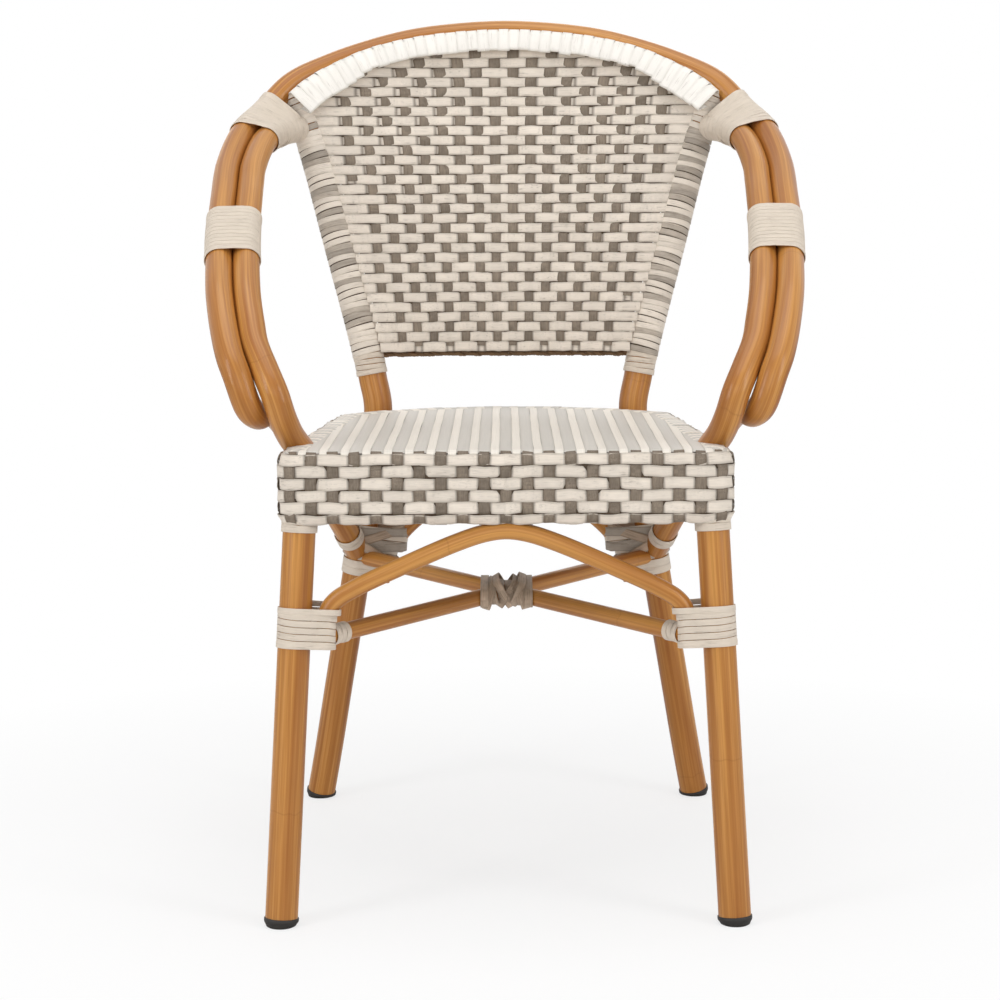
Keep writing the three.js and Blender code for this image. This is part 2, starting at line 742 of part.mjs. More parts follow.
const panelForward = backRailTube / 2 + looseGap + backPanelThickness / 2;
const panelEdgeInset = sleeveBore(legTube) + sideWrapThickness + looseGap;
const panelBottom = backRailHeight - backPanelDrop;
const panelTop = hoopLandingHeight + hoopTube;

function panelPoint(across, upShare, depth) {
  const sideHeight = THREE.MathUtils.lerp(panelBottom, panelTop, upShare);
  const side = placeAtHeight(rearLegLine, sideHeight);
  side.x -= panelEdgeInset;
  side.y -= panelForward + depth;
  const share = (across + 1) / 2;
  const bow = (curve) => {
    const place = curve.getPointAt(THREE.MathUtils.lerp(panelSideShare, 1 - panelSideShare, share));
    return place.sub(curve.getPointAt(panelSideShare)).setX(0);
  };
  const point = flipped(side).lerp(side, share);
  point.addScaledVector(bow(backRailLine), 1 - upShare);
  return point.addScaledVector(bow(hoopLine), upShare);
}

const panelRings = [];
for (let row = 0; row <= panelRows; row += 1) {
  const front = [];
  const rear = [];
  for (let column = 0; column <= panelColumns; column += 1) {
    const across = (2 * column) / panelColumns - 1;
    front.push(panelPoint(across, row / panelRows, backPanelThickness / 2));
    rear.push(panelPoint(across, row / panelRows, -backPanelThickness / 2));
  }
  panelRings.push([...front, ...rear.reverse()]);
}
add(back, "back_weave_panel", loft(panelRings), "weave");

// Foot caps: a tapered foot, flat on the floor, with a stem inside the leg
const floorCutSize = footCapDiameter * 2;
function footCap(foot, axis) {
  const stemRadius = boreReach(legTube) - gap;
  const shoulderReach = footCapHeight / axis.z - gap;
  const profile = [
    new THREE.Vector2(0, -footCapHeight),
    new THREE.Vector2(footCapBase / 2 - gap, -footCapHeight),
    new THREE.Vector2(footCapBase / 2, 0),
    new THREE.Vector2(footCapDiameter / 2, shoulderReach / 2),
    new THREE.Vector2(footCapDiameter / 2, shoulderReach),
    new THREE.Vector2(stemRadius, shoulderReach),
    new THREE.Vector2(stemRadius, shoulderReach + footStemLength),
    new THREE.Vector2(0, shoulderReach + footStemLength),
  ];
  const cap = new THREE.LatheGeometry(profile, wideSides);
  cap.applyQuaternion(new THREE.Quaternion().setFromUnitVectors(new THREE.Vector3(0, 1, 0), axis));
  cap.translate(foot.x, foot.y, foot.z);
  const floor = new THREE.BoxGeometry(floorCutSize, floorCutSize, floorCutSize);
  floor.translate(foot.x, foot.y, -floorCutSize / 2);
  return cut(cap, floor);
}

addPair(feet, "front_foot_cap", footCap(frontFoot, legUnit), "rubber");
addPair(feet, "rear_foot_cap", footCap(rearFoot, rearLegLine.getTangentAt(0)), "rubber");

// Windings. A plane square to the axis cuts the tubes of a bundle in circles: every tube is a row
// of balls, and each ball near the plane, or within reach of the strip's edges, leaves one.
function sections(guide, origin, tangent, across, side, width) {
  const radius = guide.radius + windingGap;
  const circles = [];
  for (let i = 0; i <= sectionSamples; i += 1) {
    const away = guide.curve.getPointAt(i / sectionSamples).sub(origin);
    const distance = Math.max(0, Math.abs(away.dot(tangent)) - width / 2);
    if (distance < radius && away.length() < guide.within) {
      const centre = new THREE.Vector2(away.dot(across), away.dot(side));
      circles.push({ centre, radius: Math.sqrt(radius * radius - distance * distance), distance });
    }
  }
  return circles;
}

// The loop round a bundle: the corners of a polygon whose sides touch the bundle's hull. The lean
// turns the polygon so that it has a side along the line between two tubes.
function hullLoop(circles, lean, count) {
  const turn = (2 * Math.PI) / count;
  const reach = (angle) => {
    const normal = new THREE.Vector2(Math.cos(angle), Math.sin(angle));
    return Math.max(...circles.map((round) => round.centre.dot(normal) + round.radius));
  };
  const loop = [];
  for (let i = 0; i < count; i += 1) {
    const angle = lean + i * turn;
    const here = reach(angle);
    const rise = (reach(angle + turn) - here * Math.cos(turn)) / Math.sin(turn);
    const corner = new THREE.Vector2(here, rise);
    loop.push(corner.rotateAround(new THREE.Vector2(), angle));
  }
  return loop;
}

// One strip wound round its guides. A parting lets a brace out: the turns above it move up and the
// turns below it move down, as far as the brace and the strip's edge need.
function winding(name, { axis, guides, inward, turns, steps, pitch = stripPitch, parting }) {
  const width = pitch - stripSlit;
  const length = axis.getLength();
  const start = (length - turns * pitch) / 2;
  const loopAt = (along) => {
    const share = THREE.MathUtils.clamp(along / length, 0, 1);
    const tangent = axis.getTangentAt(share);
    const origin = axis.getPointAt(share).addScaledVector(tangent, along - share * length);
    const across = inward.clone().addScaledVector(tangent, -inward.dot(tangent)).normalize();
    const side = new THREE.Vector3().crossVectors(tangent, across);
    const found = guides
      .map((guide) => sections(guide, origin, tangent, across, side, width))
      .filter((circles) => circles.length > 0);
    const hearts = found.map((circles) => circles.reduce((a, b) => (b.radius > a.radius ? b : a)).centre);
    const beside = hearts.length === 2 ? hearts[1].clone().sub(hearts[0]) : new THREE.Vector2();
    const lean = beside.x === 0 ? 0 : Math.atan(beside.y / beside.x);
    const flat = hullLoop(found.flat(), lean, steps);
    return flat.map((corner) => ({
      place: origin.clone().addScaledVector(across, corner.x).addScaledVector(side, corner.y),
      tangent,
    }));
  };
  let exit = null;
  if (parting) {
    const heart = parting.point;
    const loop = loopAt(parting.station);
    const away = loop.map((corner) => corner.place.distanceTo(heart));
    const half = parting.radius + width / 2 + partingGap;
    exit = {
      heart,
      phase: away.indexOf(Math.min(...away)) / steps,
      station: parting.station - start,
      half,
      near: half * partingNearShare,
      far: half * partingFarShare,
    };
  }
  const shiftAt = (k, place, tangent) => {
    if (!exit) return 0;
    const away = place.clone().sub(exit.heart);
    away.addScaledVector(tangent, -away.dot(tangent));
    const near = 1 - THREE.MathUtils.smoothstep(away.length(), exit.near, exit.far);
    const turn = Math.round(k / steps - exit.phase) + exit.phase;
    const offset = turn * pitch - exit.station;
    const nearest = Math.abs(offset) % pitch;
    return near * Math.sign(offset) * Math.max(0, exit.half - nearest);
  };
  const rings = [];
  const hearts = [];
  const count = turns * steps;
  for (let k = 0; k <= count; k += 1) {
    const along = start + (k / steps) * pitch;
    const plain = loopAt(along)[k % steps];
    const shift = shiftAt(k, plain.place, plain.tangent);
    const loop = loopAt(along + shift);
    const { place, tangent } = loop[k % steps];
    const before = loop[(k + steps - 1) % steps].place;
    const after = loop[(k + 1) % steps].place;
    const ahead = after.clone().sub(place).normalize();
    const behind = place.clone().sub(before).normalize();
    const heading = ahead.clone().add(behind).normalize();
    const normal = new THREE.Vector3().crossVectors(heading, tangent);
    const rise = stripThickness / heading.dot(ahead);
    const outer = place.clone().addScaledVector(normal, rise);
    const half = tangent.clone().multiplyScalar(width / 2);
    rings.push([
      place.clone().sub(half), outer.clone().sub(half), outer.clone().add(half), place.clone().add(half),
    ]);
    hearts.push(place);
  }
  const run = (from, to) => hearts[from].clone().sub(hearts[to]).setLength(stripThickness);
  rings.unshift(rings[0].map((point) => point.clone().add(run(0, 1))));
  rings.push(rings.at(-1).map((point) => point.clone().add(run(count, count - 1))));
  let least = Infinity;
  for (let i = 0; i < rings.length; i += 1) {
    for (let j = i + Math.floor(steps / 2); j < rings.length; j += 1) {
      for (const a of rings[i]) {
        for (const b of rings[j]) least = Math.min(least, a.distanceTo(b));
      }
    }
  }
  console.log(`${name}: least gap to itself ${least.toFixed(2)} mm`);
  return loft(rings);
}

// A stretch of a route for a number of turns, from a station on or up to a station
const turnsAfter = (base, station, turns) => new Stretch(base, station, station + turns * stripPitch);
const turnsBefore = (base, station, turns) => new Stretch(base, station - turns * stripPitch, station);
const inward = new THREE.Vector3(-1, 0, 0);
const forward = new THREE.Vector3(0, -1, 0);
const bundleReach = legTube + armTube + braceTube;
const guideOf = (curve, diameter) => ({ curve, radius: diameter / 2, within: bundleReach });

// Round both arm tubes: at the shoulder and half way down
const armGuides = [guideOf(railLine, armTube), guideOf(innerArmLine, armTube)];
const shoulderTurns = 8;
const middleTurns = 11;
addPair(bindings, "upper_arm_binding", winding("upper_arm_binding", {
  axis: turnsAfter(railLine, shoulderStation + legTube * upperBindingShare, shoulderTurns),
  guides: armGuides,
  inward,
  turns: shoulderTurns,
  steps: 12,
}), "strip");
addPair(bindings, "middle_arm_binding", winding("middle_arm_binding", {
  axis: turnsAfter(railLine, shoulderStation + noseReach * middleBindingShare, middleTurns),
  guides: armGuides,
  inward,
  turns: middleTurns,
  steps: 12,
}), "strip");

// Round each front leg and the end of the arch brace, parted for the cross brace
const crossHeading = crossing.clone().sub(crossFront).normalize();
const crossOnLeg = lengthAtHeight(frontLegLine, crossBraceFrontHeight);
const frontBindingTurns = 5;
const frontBindingStation = lengthAtHeight(frontLegLine, frontArchLift + frontBindingOverArch);
addPair(bindings, "front_leg_binding", winding("front_leg_binding", {
  axis: turnsBefore(frontLegLine, frontBindingStation, frontBindingTurns),
  guides: [guideOf(frontLegLine, legTube), guideOf(frontArchLine, braceTube)],
  inward,
  turns: frontBindingTurns,
  steps: 20,
  parting: {
    point: crossFront.clone().addScaledVector(crossHeading, legRadius + stripThickness),
    station: crossOnLeg - frontBindingStation + frontBindingTurns * stripPitch,
    radius: braceRadius,
  },
}), "strip");

// Cuffs round one tube each
function cuff(name, base, station, diameter, turns) {
  return winding(name, {
    axis: turnsBefore(base, station, turns),
    guides: [guideOf(base, diameter)],
    inward: forward,
    turns,
    steps: 12,
  });
}

const stripHalf = (stripPitch - stripSlit) / 2;
const topCuffStation = lengthAtHeight(frontLegLine, seatHeight - apronDepth) - topCuffDrop - stripHalf;
addPair(
  bindings,
  "front_leg_top_cuff",
  cuff("front_leg_top_cuff", frontLegLine, topCuffStation, legTube, 1),
  "strip",
);
const crossCuffTurns = 2;
const crossCuffStation = crossCuffSetback + crossCuffTurns * stripPitch;
addPair(
  bindings,
  "cross_brace_front_cuff",
  cuff("cross_brace_front_cuff", shortFrontLine, crossCuffStation, braceTube, crossCuffTurns),
  "strip",
);
const rearCuffStation = lengthAtHeight(rearLegLine, armLandingHeight - rearCuffUnderArm);
addPair(bindings, "rear_leg_cuff", winding("rear_leg_cuff", {
  axis: turnsBefore(rearLegLine, rearCuffStation, 1),
  guides: [guideOf(rearLegLine, legTube), guideOf(rearArchLine, braceTube)],
  inward,
  turns: 1,
  steps: 12,
}), "strip");
const backCuffStation = lengthAtHeight(rearLegLine, sideWrapBottom) - backCuffDrop - stripHalf;
addPair(
  bindings,
  "back_bottom_cuff",
  cuff("back_bottom_cuff", rearLegLine, backCuffStation, legTube, 2),
  "strip",
);

// Round each rear leg with the ends of the arm and of the arch brace
const rearBindingTurns = 2;
const rearBindingStation = lengthAtHeight(rearLegLine, armLandingHeight + rearBindingOverArm);
addPair(bindings, "rear_leg_binding", winding("rear_leg_binding", {
  axis: turnsBefore(rearLegLine, rearBindingStation, rearBindingTurns),
  guides: [guideOf(rearLegLine, legTube), guideOf(rearArchLine, braceTube), guideOf(railLine, armTube)],
  inward,
  turns: rearBindingTurns,
  steps: 16,
}), "strip");

// Round the crossing of the cross braces
const knotTurns = 5;
const knotReach = new THREE.Vector3((knotTurns * knotPitch) / 2, 0, 0);
const otherBraceLine = new THREE.LineCurve3(crossFront, flipped(crossRear));
add(bindings, "centre_knot_binding", winding("centre_knot_binding", {
  axis: new THREE.LineCurve3(crossing.clone().sub(knotReach), crossing.clone().add(knotReach)),
  guides: [guideOf(longBraceLine, braceTube), guideOf(otherBraceLine, braceTube)],
  inward: forward,
  turns: knotTurns,
  steps: 12,
  pitch: knotPitch,
}), "strip");

export default chair;
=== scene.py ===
"""A stackable cafe armchair: coated tube with a wood look, a woven back and seat, and wound strip.

Smooth tubes, woven strands and wound strips are laid over the packed frame. Metres, +Z up, and
the chair faces -Y. Left and right are as seen from the front, so right is +X.
"""
import math
from functools import cache

import bpy
import numpy as np
from bpy.props import FloatProperty, FloatVectorProperty, IntProperty, PointerProperty
from mathutils import Matrix, Vector


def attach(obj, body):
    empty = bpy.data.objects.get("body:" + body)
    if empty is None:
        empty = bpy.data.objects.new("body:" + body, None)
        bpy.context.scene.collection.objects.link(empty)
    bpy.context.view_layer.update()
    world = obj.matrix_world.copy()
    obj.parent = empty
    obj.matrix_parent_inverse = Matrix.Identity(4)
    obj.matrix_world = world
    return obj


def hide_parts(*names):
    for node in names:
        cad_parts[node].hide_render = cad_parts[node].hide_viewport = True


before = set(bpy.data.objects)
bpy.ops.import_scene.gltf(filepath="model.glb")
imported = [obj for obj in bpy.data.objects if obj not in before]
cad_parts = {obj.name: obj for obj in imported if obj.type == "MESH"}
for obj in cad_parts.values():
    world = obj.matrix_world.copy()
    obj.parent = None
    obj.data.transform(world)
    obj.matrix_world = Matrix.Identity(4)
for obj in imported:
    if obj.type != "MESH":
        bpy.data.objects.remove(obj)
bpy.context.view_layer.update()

bl_info = {
    "name": "Woven cafe armchair",
    "version": (1, 0, 0),
    "blender": (4, 5, 0),
    "location": "3D View > Sidebar > Armchair",
    "description": "Builds the tubes, weaves and wound strips of a cafe armchair",
    "category": "Object",
}

BODY = "root"

# Sizes of the packed frame, in metres. Rises and drops count from the seat's top and setbacks
# from the waist, where the rear leg passes the seat. Those of the crown, the hoop's landing and
# the inner arm's top count from the shoulder, where the rear leg ends, and the drop of an arch's
# end counts from where the arch springs.
LEG_RADIUS = 0.0155
ARM_TUBE = 0.026
BRACE_RADIUS = 0.0085
SEAT_TUBE = 0.019
APRON_TUBE = 0.014
CAP_DIAMETER = 0.033
FIT = 0.0005
SKIN = 0.003

SEAT_TOP = 0.450
SEAT_DEPTH = 0.438
SEAT_SIDE_DEPTH = 0.345
SEAT_HALF_WIDTH = 0.215
SEAT_REAR_INSET = 0.032
SEAT_REAR_BULGE = 0.056
REAR_CORNER_RADIUS = 0.016
APRON_DEPTH = 0.067
APRON_ROWS = 6
SUPPORT_SHARES = (0.274, 0.548)
DECK_DEPTH = 0.0012
DECK_HALF_WIDTH = 0.212
EDGE_REACH = 0.013

FRONT_FOOT_LEAD = 0.0174
REAR_FOOT_INSET = 0.001
REAR_FOOT_SETBACK = 0.052
WAIST_INSET = 0.075
SHOULDER_INSET = 0.0555
SHOULDER_SETBACK = 0.058
SHOULDER_RISE = 0.354
CROWN_SETBACK = 0.060
CROWN_RISE = 0.058
ARM_STAND_OUT = 0.074
NOSE_RISE = 0.060
ARM_LANDING_DROP = 0.164
ARCH_PAST_SHOULDER = 0.0384
INNER_ARM_TOP_DROP = 0.047
INNER_ARM_LANDING_BACK = 0.072
BACK_RAIL_RISE = 0.068
BACK_RAIL_BOW = 0.014
HOOP_FORWARD = 0.020
HOOP_DROP = 0.009
HOOP_LANDING_DROP = 0.036
ARCH_CLEARANCE = 0.0015
BRACE_STAND_OFF = 0.006
FRONT_ARCH_DROP = 0.155
FRONT_ARCH_END_DROP = 0.048
FRONT_ARCH_OVER_CROSS = 0.029
REAR_ARCH_OVER_ARM = 0.001
REAR_ARCH_END_DROP = 0.032
CROSS_UNDER_ARM = 0.002

# Places of the routes, as shares of the way across, back and up: the rear leg from its foot to
# the waist, the upright from there to the shoulder, and the arch and the hoop from the crown to
# the shoulder
LOWER_LEG_SHARES = (
    (0, 0, 0), (0.16, 0.21, 0.14), (0.33, 0.44, 0.3), (0.65, 0.73, 0.605), (0.86, 0.9, 0.82),
)
UPRIGHT_SHARES = (
    (0, 0, 0), (0.06, 0.06, 0.095), (0.13, 0.12, 0.19), (0.45, 0.5, 0.51), (0.74, 0.88, 0.793),
    (1, 1, 1),
)
CROWN_SHARES = ((0, 0, 0), (0.26, 0.06, 0.06), (0.449, 0.17, 0.17), (0.637, 0.36, 0.37))
ARCH_SHARES = CROWN_SHARES + ((0.823, 0.63, 0.64), (1, 1, 1))
HOOP_SHARES = CROWN_SHARES + ((0.792, 0.63, 0.64), (0.885, 0.86, 0.98))
# The outer arm from the shoulder down to its nose, as shares of the arms' half width and of the
# way from the nose to the shoulder, and its return, as shares of its stand out beside the seat,
# of the way back to the waist and of the way up from its landing to the nose
ARM_SHARES = (
    (0.907, 0.947, 0.893), (0.969, 0.84, 0.816), (1, 0.702, 0.701), (0.995, 0.553, 0.578),
    (0.987, 0.426, 0.459), (0.976, 0.351, 0.389), (0.95, 0.213, 0.259), (0.9, 0.089, 0.095),
    (0.871, 0.062, 0.026),
)
RETURN_SHARES = (
    (0.36, 0.071, 0.904), (0.277, 0.118, 0.861), (0.227, 0.18, 0.857), (0.18, 0.27, 0.848),
    (0.13, 0.4, 0.79), (0.063, 0.545, 0.693), (-0.047, 0.675, 0.572), (-0.27, 0.8, 0.369),
    (-0.476, 0.895, 0.203),
)
# The inner arm: shares of the way up from beside the outer arm to its top, then of the way from
# the shoulder to the nose, and tube diameters from its landing on the seat
INNER_TOP_SHARES = ((0.44, 0.767, 0.87), (0.154, 0.445, 0.65))
BESIDE_SHARES = (0.343, 0.416, 0.489, 0.571, 0.653, 0.735, 0.808, 0.881, 0.935)
INNER_BEND_SHARES = (
    (1.18, -1.39, 3.09), (0.81, -1.83, 2.3), (0.565, -1.62, 1.427), (0.338, -0.858, 0.673),
)
# The arches of the braces, as shares of the way from where they spring to their peak
FRONT_ARCH_SHARES = ((0.88, 0.965), (0.72, 0.85), (0.4, 0.55), (0.15, 0.295), (0.045, 0.15), (0, 0))
REAR_ARCH_SHARES = (
    (0.87, 0.965), (0.62, 0.81), (0.3, 0.5), (0.18, 0.34), (0.11, 0.22), (0.03, 0.1),
)
# The border of the back leaves the hoop's line at the shoulders, for the arch's
BORDER_ENDS = (
    (0.1865, 0.218, 0.8142), (0.208, 0.2065, 0.8018), (0.2265, 0.196, 0.7865),
    (0.2315, 0.1933, 0.781),
)

# Places that follow from the sizes
REAR_RADIUS = SEAT_HALF_WIDTH - SEAT_REAR_INSET + SEAT_REAR_BULGE
REAR_CENTRE = SEAT_DEPTH - REAR_RADIUS
WAIST_HALF_WIDTH = SEAT_HALF_WIDTH - WAIST_INSET
WAIST_REACH = REAR_RADIUS + LEG_RADIUS + FIT
WAIST_BACK = REAR_CENTRE + math.sqrt(WAIST_REACH**2 - WAIST_HALF_WIDTH**2)
ARM_HALF_WIDTH = SEAT_HALF_WIDTH + ARM_STAND_OUT
SHOULDER_BACK = WAIST_BACK + SHOULDER_SETBACK
SHOULDER_HEIGHT = SEAT_TOP + SHOULDER_RISE
CROWN_BACK = SHOULDER_BACK + CROWN_SETBACK
SEAT_FRONT = (FRONT_FOOT_LEAD + CAP_DIAMETER / 2 - CROWN_BACK - ARM_TUBE / 2) / 2
ARM_LANDING_HEIGHT = SEAT_TOP - ARM_LANDING_DROP
FRONT_ARCH_LIFT = SEAT_TOP - FRONT_ARCH_DROP
BACK_RAIL_HEIGHT = SEAT_TOP + BACK_RAIL_RISE
SEAT_RAIL_HEIGHT = SEAT_TOP - SKIN - FIT - SEAT_TUBE / 2
EDGE_RADIUS = SKIN + FIT + SEAT_TUBE / 2
ROLL_LENGTH = EDGE_RADIUS * math.pi / 2
APRON_RAIL_HEIGHT = SEAT_TOP - APRON_DEPTH + APRON_TUBE / 2 + FIT
APRON_RAIL_INSET = SKIN + FIT + APRON_TUBE / 2
APRON_DROP = SEAT_TOP - EDGE_RADIUS - APRON_RAIL_HEIGHT
CORNER_RADIUS = LEG_RADIUS + FIT + SKIN
SIDE_ANGLE = math.atan(SEAT_REAR_INSET / SEAT_SIDE_DEPTH)
SIDE_DISTANCE = SEAT_HALF_WIDTH * math.cos(SIDE_ANGLE)
CORNER_ACROSS = (SIDE_DISTANCE - CORNER_RADIUS * (1 + math.sin(SIDE_ANGLE))) / math.cos(SIDE_ANGLE)
REAR_REACH = REAR_RADIUS - REAR_CORNER_RADIUS
REAR_TURN = SIDE_ANGLE + math.acos(
    (SIDE_DISTANCE - REAR_CORNER_RADIUS - REAR_CENTRE * math.sin(SIDE_ANGLE)) / REAR_REACH
)
REAR_CORNER_ACROSS = REAR_REACH * math.cos(REAR_TURN)
REAR_CORNER_BACK = REAR_CENTRE + REAR_REACH * math.sin(REAR_TURN)

# The back
PANEL_BOTTOM = 0.509
PANEL_TOP = 0.782
PANEL_EDGE_INSET = 0.0196
PANEL_FORWARD = 0.010
PANEL_SIDE_SHARE = 0.07
PANEL_OVER_HOOP = 1.055
ROWS_TOP = 0.868
SIDE_WRAP_TOP = 0.736
SIDE_WRAP_END = 0.794
BUNDLE_REACH = 0.074

# Heights between which the legs' bindings lie, and the arm tubes' lengths between theirs
CAP_HEIGHT = 0.008
FRONT_BINDING = (0.2625, 0.3010)
FRONT_TOP_CUFF = (0.371, 0.386)
BACK_CUFF = (0.4870, 0.5095)
REAR_CUFF = (0.2655, 0.2825)
REAR_BINDING = (0.2835, 0.3225)
REAR_JOINT_HEIGHT = 0.3035
REAR_ARCH_FOOT = 0.306
AFTER_SHOULDER = (-0.0175, 0.064)
AFTER_MIDDLE = (0.0095, 0.0905)
INNER_CUFF = (0.012, 0.043)
CROSS_CUFF = (0.049, 0.068)
BEFORE_ARM_END = (0.050, 0.034)
ASIDE = (-1, 0, 0)
AHEAD = (0, -1, 0)


# Sizes and colours that a user would change

def length(name, description, default):
    return FloatProperty(name=name, description=description, default=default, unit="LENGTH",
                         precision=4, min=0.0001, max=1.0)


def colour(name, description, *levels):
    return FloatVectorProperty(name=name, description=description, subtype="COLOR", size=3,
                               min=0.0, max=1.0, default=[plain(level) for level in levels])


def plain(level):
    """A colour level of 0 to 255, as shown on screen, as a linear one."""
    share = level / 255
    return share / 12.92 if share <= 0.04045 else ((share + 0.055) / 1.055) ** 2.4


class ChairTubeSizes(bpy.types.PropertyGroup):
    """Diameters of the tubes."""
    leg: length("Leg", "Diameter of the legs and uprights", 0.031)
    arm: length("Arm", "Diameter of the arch and the arms", 0.0268)
    brace: length("Brace", "Diameter of the braces under the seat", 0.017)
    hoop: length("Hoop", "Diameter of the back's inner hoop", 0.014)
    back_rail: length("Back rail", "Diameter of the back's lower rail", 0.016)
    seat: length("Seat rail", "Diameter of the seat's rails", 0.019)
    apron: length("Apron rail", "Diameter of the apron's rails and the support bars", 0.014)
    sides: IntProperty(name="Sides", description="Faces round a tube", default=40, min=8, max=96)


class ChairStripSizes(bpy.types.PropertyGroup):
    """The flat strip of the bindings."""
    slit: length("Slit", "Gap between turns", 0.0005)
    thickness: length("Thickness", "Thickness of the strip", 0.0009)
    stand_off: length("Stand off", "Room between a tube and the strip round it", 0.0004)
    steps: IntProperty(name="Steps", description="Steps of one turn", default=64, min=12, max=160)


class ChairWeaveSizes(bpy.types.PropertyGroup):
    """The strands of the back and the seat."""
    thickness: length("Thickness", "Thickness of a strand", 0.0011)
    wave: length("Wave", "How far a strand rises and sinks as it crosses another", 0.00085)
    back_row: length("Back row", "Height of one row of the back", 0.0107)
    seat_row: length("Seat row", "Height of one row of the apron", 0.0113)
    seat_column: length("Seat column", "Distance between the upright strands of the seat", 0.020)


class ChairColours(bpy.types.PropertyGroup):
    """Colours of the coating, the strip and the strands."""
    wood_light: colour("Wood light", "Lightest honey tone of the coating", 216, 161, 88)
    wood: colour("Wood", "Main honey tone of the coating", 197, 138, 68)
    wood_dark: colour("Wood dark", "Darkest streaks of the coating", 152, 91, 35)
    strip: colour("Strip", "Cream strip of the bindings", 218, 205, 189)
    cream: colour("Cream", "Cream strands", 232, 221, 207)
    # Whiter than the cream strands: partly their own pale tone, partly a painted highlight of the
    # light on the top edge
    white: colour("White", "White strands of the back's top border", 243, 239, 232)
    taupe: colour("Taupe", "Taupe strands", 134, 121, 106)
    twine: colour("Twine", "Brown strands of the back's lower edge", 138, 108, 78)
    deck_cream: colour("Seat cream", "Cream strands of the seat's top", 236, 229, 218)
    deck: colour("Deck", "Light grey strands of the seat's top", 208, 203, 195)
    # Painted shade: the dark brown of the sheets in the weaves and of the strands' shaded edges and
    # dives
    shade: colour("Shade", "Depths between the strands", 74, 60, 46)
    rubber: colour("Foot", "Black foot caps", 28, 24, 21)


# Routes

def smooth(points):
    """Places close together on a smooth route through the points."""
    known = np.array(points, float)
    known = np.vstack([2 * known[0] - known[1], known, 2 * known[-1] - known[-2]])
    share = np.linspace(0, 1, 24, endpoint=False)[:, None]
    spans = []
    for before, here, there, after in zip(known, known[1:], known[2:], known[3:]):
        lead, step, lag = (
            math.sqrt(np.linalg.norm(b - a))
            for a, b in ((before, here), (here, there), (there, after))
        )
        leave = (here - before) / lead - (there - before) / (lead + step) + (there - here) / step
        arrive = (there - here) / step - (after - here) / (step + lag) + (after - there) / lag
        spans.append(
            (2 * share**3 - 3 * share**2 + 1) * here
            + (share**3 - 2 * share**2 + share) * leave * step
            + (3 * share**2 - 2 * share**3) * there
            + (share**3 - share**2) * arrive * step
        )
    return np.vstack([*spans, known[-2][None]])


def mirrored(points):
    """The same points on the other side of the chair."""
    return np.array(points) * (-1, 1, 1)


def whole(half):
    """A symmetric row of points from its right half, from left to right."""
    return np.vstack([mirrored(half)[:0:-1], half])


def bend(points):
    """A simple bend: from the first point to the last, pulled towards the middle one."""
    start, pull, end = np.array(points)
    share = np.linspace(0, 1, 120)[:, None]
    return (1 - share) ** 2 * start + 2 * share * (1 - share) * pull + share**2 * end


def unit(vectors):
    return vectors / np.linalg.norm(vectors, axis=-1, keepdims=True)


class Route:
    """A path that is read by the length along it."""

    def __init__(self, places):
        self.places = np.asarray(places, float)
        steps = np.linalg.norm(np.diff(self.places, axis=0), axis=1)
        self.lengths = np.concatenate([[0], np.cumsum(steps)])
        self.length = self.lengths[-1]

    def read(self, along):
        return np.stack([np.interp(along, self.lengths, axis) for axis in self.places.T], -1)

    def heading(self, along, step=0.0008):
        low = np.clip(np.asarray(along) - step, 0, self.length - 2 * step)
        return unit(self.read(low + 2 * step) - self.read(low))

    def at(self, along):
        along = np.asarray(along, float)
        inside = np.clip(along, 0, self.length)
        return self.read(inside) + (along - inside)[..., None] * self.heading(inside)

    def where(self, height):
        """The length at which a rising route reaches a height."""
        return np.interp(height, self.places[:, 2], self.lengths)

    def nearest(self, place):
        """The length at which the route comes nearest to a place."""
        return self.lengths[np.linalg.norm(self.places - place, axis=1).argmin()]

    def part(self, start, end, spacing=0.003):
        count = max(2, int(round((end - start) / spacing)) + 1)
        return self.at(np.linspace(start, end, count))


def line(start, end):
    return Route(np.linspace(np.array(start), np.array(end), 160))


def at(across, back, height):
    """A place by how far it is from the middle, behind the seat's front face, and up."""
    return np.array((across, SEAT_FRONT + back, height))


def between(start, end, rows):
    """Places at rows of shares of the way across, back and up."""
    return [start + (end - start) * shares for shares in rows]


# The legs
FRONT_FOOT = at(SEAT_HALF_WIDTH, -FRONT_FOOT_LEAD, 0)
FRONT_LEG_WAY = at(CORNER_ACROSS, CORNER_RADIUS, SEAT_TOP - APRON_DEPTH) - FRONT_FOOT
REAR_FOOT = at(SEAT_HALF_WIDTH - REAR_FOOT_INSET, WAIST_BACK + REAR_FOOT_SETBACK, 0)
WAIST = at(WAIST_HALF_WIDTH, WAIST_BACK, SEAT_TOP)
SHOULDER = at(ARM_HALF_WIDTH - SHOULDER_INSET, SHOULDER_BACK, SHOULDER_HEIGHT)
UPRIGHT = Route(smooth(
    between(REAR_FOOT, WAIST, LOWER_LEG_SHARES) + between(WAIST, SHOULDER, UPRIGHT_SHARES)
))


def on_front_leg(height):
    return FRONT_FOOT + FRONT_LEG_WAY * (height / FRONT_LEG_WAY[2])


def on_rear_leg(height):
    return UPRIGHT.at(UPRIGHT.where(height))


FRONT = Route(np.linspace(on_front_leg(0), on_front_leg(SEAT_RAIL_HEIGHT), 200))

